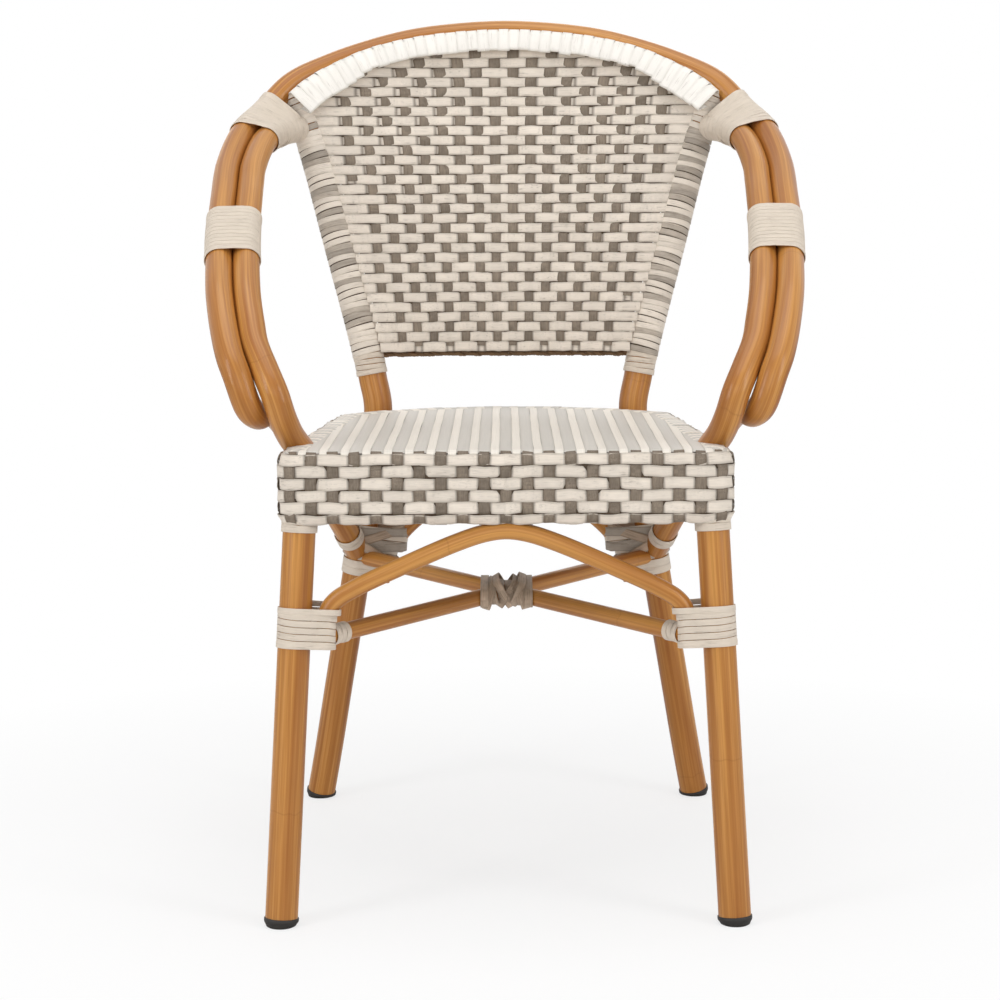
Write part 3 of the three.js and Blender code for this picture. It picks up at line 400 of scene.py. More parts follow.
# The arch and both arms are one route, from the end of the left arm to the end of the right one
CROWN = at(0, CROWN_BACK, SHOULDER_HEIGHT + CROWN_RISE)
NOSE = at(0, 0, SEAT_TOP + NOSE_RISE)
ARM_PLACES = between(NOSE, at(ARM_HALF_WIDTH, SHOULDER_BACK, SHOULDER_HEIGHT), ARM_SHARES)
RETURN_START = at(SEAT_HALF_WIDTH, 0, ARM_LANDING_HEIGHT)
RETURN_END = at(ARM_HALF_WIDTH, WAIST_BACK, SEAT_TOP + NOSE_RISE)
RAIL = Route(smooth(whole([
    *between(CROWN, SHOULDER, ARCH_SHARES), *ARM_PLACES,
    *between(RETURN_START, RETURN_END, RETURN_SHARES), on_rear_leg(ARM_LANDING_HEIGHT),
])))
SHOULDER_STATION = RAIL.nearest(SHOULDER)
JOINT_STATION = SHOULDER_STATION + ARCH_PAST_SHOULDER
NOSE_REACH = RAIL.nearest(ARM_PLACES[-1]) - SHOULDER_STATION


def beside_arm(share):
    """A place of the inner arm beside the outer one, a share of the way to its nose."""
    station = SHOULDER_STATION + NOSE_REACH * share
    inward = unit(np.cross(RAIL.heading(station), (0, 0, 1)))
    return RAIL.at(station) + inward * (ARM_TUBE + FIT)


def seat_side(inset, back, height):
    """A place along the seat's straight side, as far inside it as the inset."""
    across = (SIDE_DISTANCE - inset) / math.cos(SIDE_ANGLE) - back * math.tan(SIDE_ANGLE)
    return at(across, back, height)


INNER_LANDING = seat_side(
    EDGE_RADIUS, INNER_ARM_LANDING_BACK, SEAT_RAIL_HEIGHT + SEAT_TUBE / 4
)
INNER_TOP = on_rear_leg(SHOULDER_HEIGHT - INNER_ARM_TOP_DROP)
BESIDE = [beside_arm(share) for share in BESIDE_SHARES]
INNER = Route(smooth([
    INNER_TOP, *between(BESIDE[0], INNER_TOP, INNER_TOP_SHARES), *BESIDE,
    *(INNER_LANDING + np.array(shares) * ARM_TUBE for shares in INNER_BEND_SHARES), INNER_LANDING,
]))

# The back's own tubes, and its border
HOOP_SHIFT = np.array((0, -HOOP_FORWARD, -HOOP_DROP))
HOOP_HALF = [place + HOOP_SHIFT for place in between(CROWN, SHOULDER, HOOP_SHARES)]
HOOP = Route(smooth(whole([*HOOP_HALF, on_rear_leg(SHOULDER_HEIGHT - HOOP_LANDING_DROP)])))
BORDER = Route(smooth(whole([*HOOP_HALF[:len(CROWN_SHARES)], *BORDER_ENDS])))
BACK_RAIL_END = on_rear_leg(BACK_RAIL_HEIGHT)
BACK_RAIL = Route(bend((
    mirrored(BACK_RAIL_END), BACK_RAIL_END * (0, 1, 1) + (0, 2 * BACK_RAIL_BOW, 0), BACK_RAIL_END,
)))


# The braces
def arch_brace(leg_place, lift, end_drop, shares):
    """A brace that springs beside a pair of legs and rises to its peak under the seat."""
    aside = np.array((LEG_RADIUS + BRACE_RADIUS + BRACE_STAND_OFF, 0, 0))
    spring = leg_place(lift) - aside
    peak_height = SEAT_TOP - APRON_DEPTH - ARCH_CLEARANCE - BRACE_RADIUS
    peak = np.array((0, spring[1], peak_height))
    rows = [(across, 0, rise) for across, rise in shares]
    half = [peak, *between(spring, peak, rows), leg_place(lift - end_drop) - aside]
    return Route(smooth(whole(half)))


FRONT_ARCH = arch_brace(on_front_leg, FRONT_ARCH_LIFT, FRONT_ARCH_END_DROP, FRONT_ARCH_SHARES)
REAR_ARCH = arch_brace(
    on_rear_leg, ARM_LANDING_HEIGHT + REAR_ARCH_OVER_ARM, REAR_ARCH_END_DROP, REAR_ARCH_SHARES
)
REAR_FEET = Route(REAR_ARCH.places[REAR_ARCH.places[:, 2] < REAR_ARCH_FOOT])
CROSS_FRONT = on_front_leg(FRONT_ARCH_LIFT - FRONT_ARCH_OVER_CROSS)
CROSS_REAR = on_rear_leg(ARM_LANDING_HEIGHT - CROSS_UNDER_ARM)
CROSSING = mirrored(CROSS_FRONT) + (CROSS_REAR - mirrored(CROSS_FRONT)) * (
    CROSS_FRONT[0] / (CROSS_FRONT[0] + CROSS_REAR[0])
)


# Node trees

def socket_of(sockets, key):
    """The socket with this number, identifier or name."""
    if isinstance(key, int):
        return sockets[key]
    for socket in sockets:
        if socket.identifier == key:
            return socket
    return sockets[key]


class Wire:
    """One output in a node tree, so that sums on values can be written as sums."""

    def __init__(self, nodes, socket):
        self.nodes = nodes
        self.socket = socket

    def maths(self, operation, *others):
        values = dict(enumerate((self, *others)))
        return self.nodes.add("ShaderNodeMath", {"operation": operation}, values)

    def __add__(self, other):
        return self.maths("ADD", other)

    def __sub__(self, other):
        return self.maths("SUBTRACT", other)

    def __mul__(self, other):
        return self.maths("MULTIPLY", other)

    def __rsub__(self, other):
        return self * -1 + other

    def __truediv__(self, other):
        return self.maths("DIVIDE", other)

    __radd__ = __add__
    __rmul__ = __mul__

    def part(self, name):
        """One part of a vector: X, Y or Z."""
        return self.nodes.add("ShaderNodeSeparateXYZ", {}, {"Vector": self}, name)


class Nodes:
    """A node tree in the making."""

    def __init__(self, tree):
        self.tree = tree

    def add(self, kind, settings=None, sockets=None, output=0):
        """One node: its settings first, then values or links for its sockets."""
        made = self.tree.nodes.new(kind)
        for key, value in (settings or {}).items():
            if key == "stops":
                self.set_stops(made.color_ramp, value)
            else:
                setattr(made, key, value)
        for key, value in (sockets or {}).items():
            socket = socket_of(made.inputs, key)
            if isinstance(value, Wire):
                self.tree.links.new(value.socket, socket)
            else:
                socket.default_value = value
        if output is None:
            return made
        return Wire(self, socket_of(made.outputs, output))

    @staticmethod
    def set_stops(ramp, stops):
        while len(ramp.elements) < len(stops):
            ramp.elements.new(1.0)
        for element, (place, level) in zip(ramp.elements, stops):
            element.position = place
            element.color = (level, level, level, 1)


class Paint(Nodes):
    """A material in the making, with the patterns that the chair's finishes share."""

    def __init__(self, name):
        self.material = bpy.data.materials.new(name)
        self.material.use_nodes = True
        super().__init__(self.material.node_tree)
        self.tree.nodes.clear()

    def attribute(self, name, output="Fac"):
        return self.add("ShaderNodeAttribute", {"attribute_name": name}, {}, output)

    def place(self):
        return self.add("ShaderNodeTexCoord", {}, {}, "Object")

    def across(self, axis):
        """The place across a swept piece: X through its thickness and Y over its width."""
        return self.attribute("section", "Vector").part(axis)

    def stretched(self, across_scale, along_scale, shift=0.0):
        """Places on a swept piece for a pattern that is stretched along it."""
        return self.add("ShaderNodeCombineXYZ", {}, {
            "X": self.across("X") * across_scale + self.attribute("tint") * 7.3 + shift,
            "Y": self.across("Y") * across_scale,
            "Z": self.attribute("along") * along_scale,
        })

    def noise(self, where, scale=1.0, detail=3.0):
        return self.add("ShaderNodeTexNoise", {"normalize": True}, {
            "Vector": where, "Scale": scale, "Detail": detail, "Roughness": 0.55,
        }, "Fac")

    def ramp(self, value, *stops):
        return self.add("ShaderNodeValToRGB", {"stops": stops}, {"Fac": value}, "Color")

    def blend(self, factor, first, second, mode="MIX"):
        """Two colours mixed. A colour is three linear levels or a wire."""
        first, second = (c if isinstance(c, Wire) else (*c, 1) for c in (first, second))
        return self.add("ShaderNodeMix", {"data_type": "RGBA", "blend_type": mode}, {
            "Factor_Float": factor, "A_Color": first, "B_Color": second,
        }, "Result_Color")

    def own_tone(self, tone, spread):
        """The tone times a level that each strand has of its own."""
        own = self.ramp(self.attribute("tint"), (0.0, 1 - spread), (1.0, 1.0))
        return self.blend(1.0, tone, own, "MULTIPLY")

    def bump(self, height, distance, strength=1.0):
        return self.add("ShaderNodeBump", {}, {
            "Height": height, "Distance": distance, "Strength": strength,
        }, "Normal")

    def surface(self, sockets):
        shader = self.add("ShaderNodeBsdfPrincipled", {}, sockets, "BSDF")
        self.add("ShaderNodeOutputMaterial", {}, {"Surface": shader}, None)
        return self.material


# Colours that lie between others, as shares: the wraps' darker strands are a little paler than
# the back's, and the knot's strip lies between cream and taupe
MIXED = {
    "wrap": {"cream": 0.45, "taupe": 0.55},
    "knot": {"strip": 0.58, "wood": 0.27, "taupe": 0.15},
}


def colour_of(name, factor=1.0):
    """The linear levels of one of the chair's colours, or of a mixed one, times a factor."""
    colours = bpy.context.scene.chair_colours
    shares = MIXED.get(name, {name: 1.0})
    return tuple(
        sum(share * getattr(colours, part)[k] for part, share in shares.items()) * factor
        for k in range(3)
    )


def wood_paint():
    """Glossy coating with a soft printed grain: broad bands, thin streaks and rare joints."""
    paint = Paint("wood_coating")
    broad = paint.noise(paint.stretched(110, 2.4), detail=2.0)
    streak = paint.noise(paint.stretched(330, 4.0, 3.1), detail=3.0)
    fibre = paint.noise(paint.stretched(1100, 14, 1.7), detail=2.0)
    joint = joint_rings(paint)
    dark = paint.ramp(broad * 0.7 + streak * 0.3, (0.34, 0.0), (0.66, 1.0))
    light = paint.ramp(streak * 0.6 + broad * 0.4, (0.5, 0.0), (0.72, 0.55))
    thin = paint.ramp(fibre, (0.36, 0.22), (0.5, 0.0))
    tone = paint.blend(dark, colour_of("wood_dark"), colour_of("wood"))
    tone = paint.blend(light, tone, colour_of("wood_light"))
    tone = paint.blend(thin, tone, colour_of("wood_dark", 0.7))
    return paint.surface({
        "Base Color": paint.blend(joint * 0.22, tone, colour_of("wood_dark", 0.6)),
        "Roughness": 0.3 + fibre * 0.1,
        "Coat Weight": 0.15,
        "Coat Roughness": 0.1,
        "Specular IOR Level": 0.28,
        "Normal": paint.bump(streak + fibre * 0.4 - joint * 0.8, 0.00016, 0.5),
    })


def joint_rings(paint):
    """A faint ring now and then along a tube, as bamboo has."""
    wobble = paint.noise(paint.stretched(60, 0), detail=1.0) * 0.012
    phase = (paint.attribute("along") + paint.attribute("tint") * 0.37 + wobble) / 0.46
    away = (phase.maths("FRACT") - 0.5).maths("ABSOLUTE")
    return paint.ramp(away * 46, (0.0, 1.0), (0.12, 0.0))


def strand_paint(name, base, dark, light, spread, edge):
    """Flat plastic strand: fine ridges along it, patchy tone and a tint of its own. It has painted
    shade at its edges and where it dives under another."""
    paint = Paint(name)
    patch = paint.noise(paint.stretched(120, 60), detail=3.0)
    lines = paint.noise(paint.stretched(1500, 40, 5.0), detail=2.0)
    tone = paint.ramp(lines * 0.5 + patch * 0.5, (0.34, 0.0), (0.66, 1.0))
    tone = paint.blend(tone, colour_of(base, dark), colour_of(base, light))
    tone = paint.own_tone(tone, spread)
    streak = paint.ramp(lines * 0.6 + patch * 0.4, (0.3, 0.5), (0.42, 0.0))
    tone = paint.blend(streak, tone, colour_of("shade", 2.2))
    # Painted shade along the strand's edges
    width = paint.across("Y").maths("ABSOLUTE")
    rim = paint.ramp(width * 100 + patch * 0.12, (0.36, 0.0), (0.58, edge))
    tone = paint.blend(rim, tone, colour_of("shade", 1.3))
    # Painted shade where the strand dives under another, read from its rise
    dive = paint.ramp(paint.attribute("rise"), (0.0, 0.05), (0.18, 0.05), (0.32, 0.7), (0.62, 0.0))
    ridge_width = 0.0011
    ridges = (paint.across("Y") * (2 * math.pi / ridge_width)).maths("SINE")
    return paint.surface({
        "Base Color": paint.blend(dive, tone, colour_of("shade")),
        "Roughness": 0.48 + lines * 0.16,
        "Specular IOR Level": 0.3,
        "Normal": paint.bump(ridges * 0.25 + lines + patch * 0.8, 0.0003, 0.7),
    })


def deck_paint(name, base):
    """Strand of the seat's top, with the fine cross lines of the thin strands woven through it, and
    painted shade at its edges and where it dives.
    """
    paint = Paint(name)
    lines = paint.noise(paint.stretched(900, 12, 2.0), detail=2.0)
    cross_pitch = 0.0042
    cross_wave = (paint.attribute("along") + lines * 0.0012) * (2 * math.pi / cross_pitch)
    cross = cross_wave.maths("SINE")
    tone = paint.ramp(lines * 0.6 + cross * 0.1 + 0.2, (0.3, 0.0), (0.7, 1.0))
    tone = paint.blend(tone, colour_of(base, 0.9), colour_of(base, 1.04))
    tone = paint.own_tone(tone, 0.06)
    # Painted shade along the strand's edges
    rim = paint.ramp(paint.across("Y").maths("ABSOLUTE") * 100, (0.36, 0.0), (0.6, 0.16))
    tone = paint.blend(rim, tone, colour_of("shade"))
    # Painted shade where the strand dives, read from its rise
    dive = paint.ramp(paint.attribute("rise"), (0.02, 0.7), (0.45, 0.0))
    return paint.surface({
        "Base Color": paint.blend(dive, tone, colour_of("shade")),
        "Roughness": 0.5 + lines * 0.15,
        "Specular IOR Level": 0.3,
        "Normal": paint.bump(cross * 0.5 + lines, 0.0002, 0.6),
    })


def shade_paint():
    """Dull dark brown painted shade, for the gaps between the strands."""
    paint = Paint("weave_depths")
    patch = paint.noise(paint.place(), 260.0, 3.0)
    return paint.surface({
        "Base Color": paint.blend(patch, colour_of("shade", 0.7), colour_of("shade", 1.4)),
        "Roughness": 0.7 + patch * 0.2,
        "Normal": paint.bump(patch, 0.0004, 0.6),
    })


def rubber_paint():
    """Black moulded foot cap with a fine grain, scuffed towards the floor."""
    paint = Paint("foot_rubber")
    grain = paint.noise(paint.place(), 900.0, 2.0)
    scuff = paint.noise(paint.place(), 160.0, 3.0)
    low = paint.ramp(paint.place().part("Z") * 200, (0.1, 1.0), (0.9, 0.0))
    worn = paint.ramp(scuff, (0.45, 0.0), (0.7, 0.6)) * low
    return paint.surface({
        "Base Color": paint.blend(worn, colour_of("rubber"), colour_of("rubber", 3.5)),
        "Roughness": 0.5 + grain * 0.2,
        "Normal": paint.bump(grain, 0.0002, 0.5),
    })


def metal_paint():
    """Bare drawn tube, dull and unevenly worn."""
    paint = Paint("bare_tube")
    haze = paint.noise(paint.place(), 120.0, 3.0)
    return paint.surface({
        "Base Color": paint.blend(haze, (0.42, 0.42, 0.43), (0.6, 0.6, 0.6)),
        "Metallic": 1.0,
        "Roughness": 0.34 + haze * 0.2,
    })


# The finishes by name: the function that makes each, and what it is given. For a strand that is
# its colour, its darkest and lightest tone, how far strands differ and how dark the painted shade
# at its edges is.
FINISHES = {
    "wood": (wood_paint,),
    "strip": (strand_paint, "strip_cream", "strip", 0.93, 1.04, 0.05, 0.12),
    "taupe_strip": (strand_paint, "strip_taupe", "wrap", 0.8, 1.1, 0.3, 0.3),
    "knot_strip": (strand_paint, "strip_knot", "knot", 0.7, 1.15, 0.35, 0.4),
    "twine": (strand_paint, "strand_twine", "twine", 0.7, 1.2, 0.3, 0.4),
    "cream": (strand_paint, "strand_cream", "cream", 0.9, 1.05, 0.12, 0.3),
    "white": (strand_paint, "strand_white", "white", 0.97, 1.02, 0.04, 0.08),
    "taupe": (strand_paint, "strand_taupe", "taupe", 0.7, 1.3, 0.3, 0.35),
    "taupe_wrap": (strand_paint, "strand_taupe_wrap", "wrap", 0.75, 1.2, 0.3, 0.4),
    "deck_grey": (deck_paint, "deck_grey", "deck"),
    "deck_cream": (deck_paint, "deck_cream", "deck_cream"),
    "shade": (shade_paint,),
    "rubber": (rubber_paint,),
    "metal": (metal_paint,),
}


@cache
def finish(name):
    """A material that pieces share, made once."""
    make, *given = FINISHES[name]
    return make(*given)


# Sweeps: lines with a flat side become strips, and lines with a diameter become tubes

def sweep_tree(name, sockets, normal_mode, make_profile):
    """A tree that sweeps a profile along lines. The material can read each place's position in
    the profile and its length along the line."""
    tree = bpy.data.node_groups.new(name, "GeometryNodeTree")
    for socket, kind in (("Geometry", "Geometry"), *sockets, ("Material", "Material")):
        tree.interface.new_socket(socket, in_out="INPUT", socket_type="NodeSocket" + kind)
    tree.interface.new_socket("Geometry", in_out="OUTPUT", socket_type="NodeSocketGeometry")
    nodes = Nodes(tree)
    group = nodes.add("NodeGroupInput", {}, {}, None)
    given = {socket.name: Wire(nodes, socket) for socket in group.outputs}

    def stored(label, kind):
        return nodes.add("GeometryNodeInputNamedAttribute", {"data_type": kind}, {
            "Name": label,
        }, "Attribute")

    def store(geometry, label, kind, value):
        return nodes.add("GeometryNodeStoreNamedAttribute", {"data_type": kind}, {
            "Geometry": geometry, "Name": label, "Value": value,
        })

    guides = nodes.add("GeometryNodeMeshToCurve", {}, {"Mesh": given["Geometry"]})
    guides = nodes.add("GeometryNodeSetCurveNormal", {"mode": normal_mode}, {
        "Curve": guides, "Normal": stored("lay", "FLOAT_VECTOR"),
    })
    reach = nodes.add("GeometryNodeSplineParameter", {}, {}, "Length")
    place = nodes.add("GeometryNodeInputPosition")
    skin = nodes.add("GeometryNodeCurveToMesh", {}, {
        "Curve": store(guides, "along", "FLOAT", reach),
        "Profile Curve": store(make_profile(nodes, given), "section", "FLOAT_VECTOR", place),
        "Scale": stored("girth", "FLOAT"), "Fill Caps": True,
    })
    soft = nodes.add("GeometryNodeSetShadeSmooth", {}, {"Geometry": skin})
    real = nodes.add("GeometryNodeRealizeInstances", {}, {"Geometry": soft})
    painted = nodes.add("GeometryNodeSetMaterial", {}, {
        "Geometry": real, "Material": given["Material"],
    })
    nodes.add("NodeGroupOutput", {}, {"Geometry": painted}, None)
    return tree


@cache
def strip_tree():
    """Flat strips with rounded edges along lines that say which way their flat side faces."""
    def profile(nodes, given):
        flat = nodes.add("GeometryNodeCurvePrimitiveQuadrilateral", {"mode": "RECTANGLE"}, {
            "Width": given["Thickness"], "Height": given["Width"],
        })
        return nodes.add("GeometryNodeFilletCurve", {"mode": "POLY"}, {
            "Curve": flat, "Count": 2, "Radius": given["Edge"], "Limit Radius": True,
        })

    sockets = (("Width", "Float"), ("Thickness", "Float"), ("Edge", "Float"))
    return sweep_tree("flat_strips", sockets, "FREE", profile)


@cache
def tube_tree():
    """Round tubes along lines."""
    def profile(nodes, given):
        return nodes.add("GeometryNodeCurvePrimitiveCircle", {"mode": "RADIUS"}, {
            "Resolution": given["Sides"], "Radius": given["Diameter"] * 0.5,
        })

    sockets = (("Diameter", "Float"), ("Sides", "Int"))
    return sweep_tree("round_tubes", sockets, "MINIMUM_TWIST", profile)


# What a guide line says at each of its places, with the value where it says nothing: the way its
# flat side faces, how wide it is, its own tone and how far it stands out. The strand finishes paint
# shade where it stands low.
LINE_FIELDS = (
    ("lay", "FLOAT_VECTOR", "vector", (0.0, 0.0, 1.0)), ("girth", "FLOAT", "value", 1.0),
    ("tint", "FLOAT", "value", 0.5), ("rise", "FLOAT", "value", 1.0),
)


def guide_mesh(name, lines):
    """Loose lines for a sweep. Each is a dict of its places, any of the fields above, and closed
    where its end meets its start."""
    places, edges = [], []
    for item in lines:
        first = len(places)
        count = len(item["places"])
        places += [tuple(place) for place in item["places"]]
        edges += [(first + k, first + k + 1) for k in range(count - 1)]
        if item.get("closed"):
            edges.append((first + count - 1, first))
    mesh = bpy.data.meshes.new(name)
    mesh.from_pydata(places, edges, [])
    for label, kind, field, usual in LINE_FIELDS:
        rows = [
            np.broadcast_to(item.get(label, usual), (len(item["places"]), *np.shape(usual)))
            for item in lines
        ]
        layer = mesh.attributes.new(label, kind, "POINT")
        layer.data.foreach_set(field, np.concatenate(rows).astype(np.float32).ravel())
    return mesh


def put(name, data):
    """A new object in the scene."""
    made = bpy.data.objects.new(name, data)
    bpy.context.scene.collection.objects.link(made)
    return made


def evaluated_mesh(source):
    graph = bpy.context.evaluated_depsgraph_get()
    return bpy.data.meshes.new_from_object(source.evaluated_get(graph))


def sweep(name, lines, tree, values):
    """Runs a sweep over the lines and returns its result as a plain mesh object."""
    guide = put(name + "_guide", guide_mesh(name + "_guide", lines))
    modifier = guide.modifiers.new("sweep", "NODES")
    modifier.node_group = tree
    for socket in tree.interface.items_tree:
        if socket.in_out == "INPUT" and socket.name in values:
            modifier[socket.identifier] = values[socket.name]
    bpy.context.view_layer.update()
    mesh = evaluated_mesh(guide)
    mesh.name = name
    guide.modifiers.remove(modifier)
    bpy.data.objects.remove(guide)
    return put(name, mesh)


def strips(name, lines, width, thickness, material):
    return sweep(name, lines, strip_tree(), {
        "Width": width, "Thickness": thickness, "Edge": thickness * 0.45,
        "Material": finish(material),
    })


def tubes(name, lines, diameter, material="wood"):
    return sweep(name, lines, tube_tree(), {
        "Diameter": diameter, "Sides": bpy.context.scene.chair_tubes.sides,
        "Material": finish(material),
    })


def ring_faces(rows, sides):
    """Faces between rows of places that go round."""
    return [
        (low + k, low + (k + 1) % sides, low + sides + (k + 1) % sides, low + sides + k)
        for low in range(0, (rows - 1) * sides, sides) for k in range(sides)
    ]


def face_piece(name, places, faces, material):
    """A piece made of places and faces."""
    mesh = bpy.data.meshes.new(name)
    mesh.from_pydata(places, [], faces)
    mesh.validate()
    mesh.shade_smooth()
    mesh.materials.append(finish(material))
    return put(name, mesh)


def settle(piece, slot, *nodes):
    """The finished piece rides on the chair and stands for its CAD nodes. The slot is not used."""
    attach(piece, BODY)
    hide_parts(*nodes)


def mirror_line(item):
    """The same line on the other side of the chair."""
    other = dict(item, places=mirrored(item["places"]))
    if "lay" in item:
        other["lay"] = mirrored(item["lay"])
    return other


def sides_of(name, node, lines):
    """Name, CAD node and lines of a piece, or of a right and a left one where the CAD has two."""
    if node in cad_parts:
        return [(name, node, lines)]
    return [
        (f"{name}_right", f"{node}_right", lines),
        (f"{name}_left", f"{node}_left", [mirror_line(item) for item in lines]),
    ]


# Windings

class Bundle:
    """Tubes that a strip is wound round, and the direction in which the winding starts."""

    def __init__(self, guides, inward):
        gap = bpy.context.scene.chair_strip.stand_off
        self.guides = [(route, radius + gap) for route, radius in guides]
        self.inward = np.array(inward, float)

    def circles(self, origin, tangent, across, side, width):
        """Where a plane, as thick as the strip is wide, meets the tubes."""
        found = []
        for route, radius in self.guides:
            away = route.places - origin
            distance = np.maximum(0, np.abs(away @ tangent) - width / 2)
            near = (distance < radius) & (np.linalg.norm(away, axis=1) < BUNDLE_REACH)
            rounds = np.sqrt(radius**2 - distance[near] ** 2)
            found.append(np.stack([away[near] @ across, away[near] @ side, rounds]))
        return np.hstack(found)

    def loop(self, origin, tangent, width, steps):
        across = unit(self.inward - (self.inward @ tangent) * tangent)
        side = np.cross(tangent, across)
        flat = hull_loop(self.circles(origin, tangent, across, side, width), steps)
        return origin + flat[:, :1] * across + flat[:, 1:] * side

    def ring(self, origin, tangent, width, lift=0.0):
        """A closed turn of strip in the plane across the tangent, lifted off the tubes."""
        sizes = bpy.context.scene.chair_strip
        tangent = unit(np.array(tangent, float))
        loop = self.loop(np.array(origin), tangent, width, sizes.steps)
        normal = np.cross(loop_headings(loop), tangent)
        places = loop + normal * (lift + sizes.thickness / 2)
        return {"places": places, "lay": normal, "closed": True}


def loop_headings(loop):
    return unit(np.roll(loop, -1, axis=0) - np.roll(loop, 1, axis=0))


def hull_loop(circles, count):
    """Corners of the polygon with this many sides that just holds the circles."""
    turn = 2 * math.pi / count
    angles = np.arange(count) * turn
    normals = np.stack([np.cos(angles), np.sin(angles)], 1)
    reach = (normals @ circles[:2] + circles[2]).max(1)
    rise = (np.roll(reach, -1) - reach * math.cos(turn)) / math.sin(turn)
    sides = np.stack([-normals[:, 1], normals[:, 0]], 1)
    return reach[:, None] * normals + rise[:, None] * sides


def parted(parting, along, place, tangent, pitch, width):
    """How far a turn moves aside at a place, to let a brace out of the winding."""
    away = place - parting["heart"]
    away = np.linalg.norm(away - (away @ tangent) * tangent)
    half = parting["radius"] + width / 2 + 0.001
    share = np.clip((away / half - 1.0) / 0.7, 0, 1)
    near = 1 - share * share * (3 - 2 * share)
    offset = along - parting["station"]
    return near * math.copysign(max(0.0, half - abs(offset) % pitch), offset)


def winding(axis, bundle, strips_seen, parting=None):
    """A strip wound along the axis so that this many strips lie side by side, with a level turn
    over each end. A parting lets a brace out: the turns above it move up and those below down."""
    sizes = bpy.context.scene.chair_strip
    steps = sizes.steps
    pitch = axis.length / strips_seen
    width = pitch - sizes.slit
    places, lays = [], []
    for k in range((strips_seen - 1) * steps + 1):
        along = pitch / 2 + k / steps * pitch
        tangent = axis.heading(along)
        loop = bundle.loop(axis.at(along), tangent, width, steps)
        shift = parting and parted(parting, along, loop[k % steps], tangent, pitch, width)
        if shift:
            tangent = axis.heading(np.clip(along + shift, 0, axis.length))
            loop = bundle.loop(axis.at(along + shift), tangent, width, steps)
        heading = unit(loop[(k + 1) % steps] - loop[(k - 1) % steps])
        normal = np.cross(heading, tangent)
        places.append(loop[k % steps] + normal * sizes.thickness / 2)
        lays.append(normal)
    lines = [{"places": np.array(places), "lay": np.array(lays)}]
    for along in (pitch / 2, axis.length - pitch / 2):
        lines.append(bundle.ring(axis.at(along), axis.heading(along), width, 0.0003))
    return lines, width


def add_winding(name, lines, width, node, material="strip"):
    """A pair of windings, or one where the CAD has one."""
    thickness = bpy.context.scene.chair_strip.thickness
    lines = [dict(item, tint=0.5 + 0.4 * (k % 2)) for k, item in enumerate(lines)]
    for piece, own_node, group in sides_of(name, node, lines):
        settle(strips(piece, group, width, thickness, material), "strip_cream", own_node)


def turned(vector, axis, degrees):
    return np.array(Matrix.Rotation(math.radians(degrees), 3, Vector(axis)) @ Vector(vector))


def crossed_rings(bundle, heart, way, width, rows):
    """Rings of strip that lean to and fro: each row is its lean in degrees, its place along the
    way and its lift off the tubes."""
    return [
        bundle.ring(heart + way * place, turned(way, (0, 1, 0), degrees), width, lift)
        for degrees, place, lift in rows
    ]


# The surface of the back

def back_places(across, height):
    """Places on the back's middle surface, where across is a share of the half width."""
    across = np.asarray(across, float)
    height = np.asarray(height, float)

    def bow(route):
        share = PANEL_SIDE_SHARE + (1 - 2 * PANEL_SIDE_SHARE) * (across + 1) / 2
        base = route.read(np.array([PANEL_SIDE_SHARE * route.length]))
        return route.at(share * route.length) - base

    hoop = bow(HOOP)
    rise = np.clip((height - PANEL_BOTTOM) / (PANEL_TOP - PANEL_BOTTOM + hoop[..., 2]), -0.1, 1.3)
    side_height = PANEL_BOTTOM + rise * (PANEL_TOP - PANEL_BOTTOM)
    side = UPRIGHT.at(UPRIGHT.where(side_height))
    places = np.empty(np.broadcast(across, height).shape + (3,))
    places[..., 0] = across * (side[..., 0] - PANEL_EDGE_INSET)
    rail = bow(BACK_RAIL)
    places[..., 1] = side[..., 1] - PANEL_FORWARD + rail[..., 1] * (1 - rise) + hoop[..., 1] * rise
    places[..., 2] = height
    return places, rise


def back_normals(across, height, step=0.002):
    """The way that the back's front faces."""
    left, _ = back_places(across - step, height)
    right, _ = back_places(across + step, height)
    low, _ = back_places(across, height - step)
    high, _ = back_places(across, height + step)
    return unit(np.cross(right - left, high - low))


def crossing_wave(phase, over=0.0):
    """1 over a crossing and -1 under the next, with the quick dive between that flat strands have.
    A strand that crosses narrow ones spends more of its length over them."""
    return np.clip((np.cos(np.pi * phase) + over) * 1.7, -1, 1)


def chance(seed):
    """A number from 0 to 1, the same in every run."""
    return np.random.RandomState(seed).uniform()


def wobble(count, seed, cell=6):
    """Smooth unevenness from -1 to 1 along a strand, the same in every run."""
    knots = np.random.RandomState(seed).uniform(-1, 1, count // cell + 3)
    return np.interp(np.arange(count) / cell, np.arange(len(knots)), knots)


def strand(places, facing, rise, wave, seed, girth=1.0, uneven=1.0):
    """A strand that rises over and dives under others. It is hand made: its width, its place and
    its lean wander a little, and it is narrower where it dives."""
    count = len(places)
    along = unit(np.gradient(places, axis=0))
    sideways = np.cross(along, facing)
    drift = sideways * (wobble(count, seed) * 0.00045 * uneven)[:, None]
    lean = sideways * (wobble(count, seed + 1, 4) * 0.09 * uneven)[:, None]
    fullness = 0.975 + 0.025 * rise + wobble(count, seed + 2, 5) * 0.04 * uneven
    tint = 0.25 + 0.5 * chance(seed + 3) + 0.45 * wobble(count, seed + 4, 8)
    return {
        "places": places + facing * (rise * wave)[:, None] + drift,
        "lay": unit(facing + lean),
        "girth": girth * fullness,
        "rise": rise * 0.5 + 0.5,
        "tint": np.clip(tint, 0, 1),
    }


class ChairOperator:
    """What the chair's operators share."""
    bl_options = {"REGISTER", "UNDO"}

    def execute(self, context):
        self.build(context.scene)
        return {"FINISHED"}


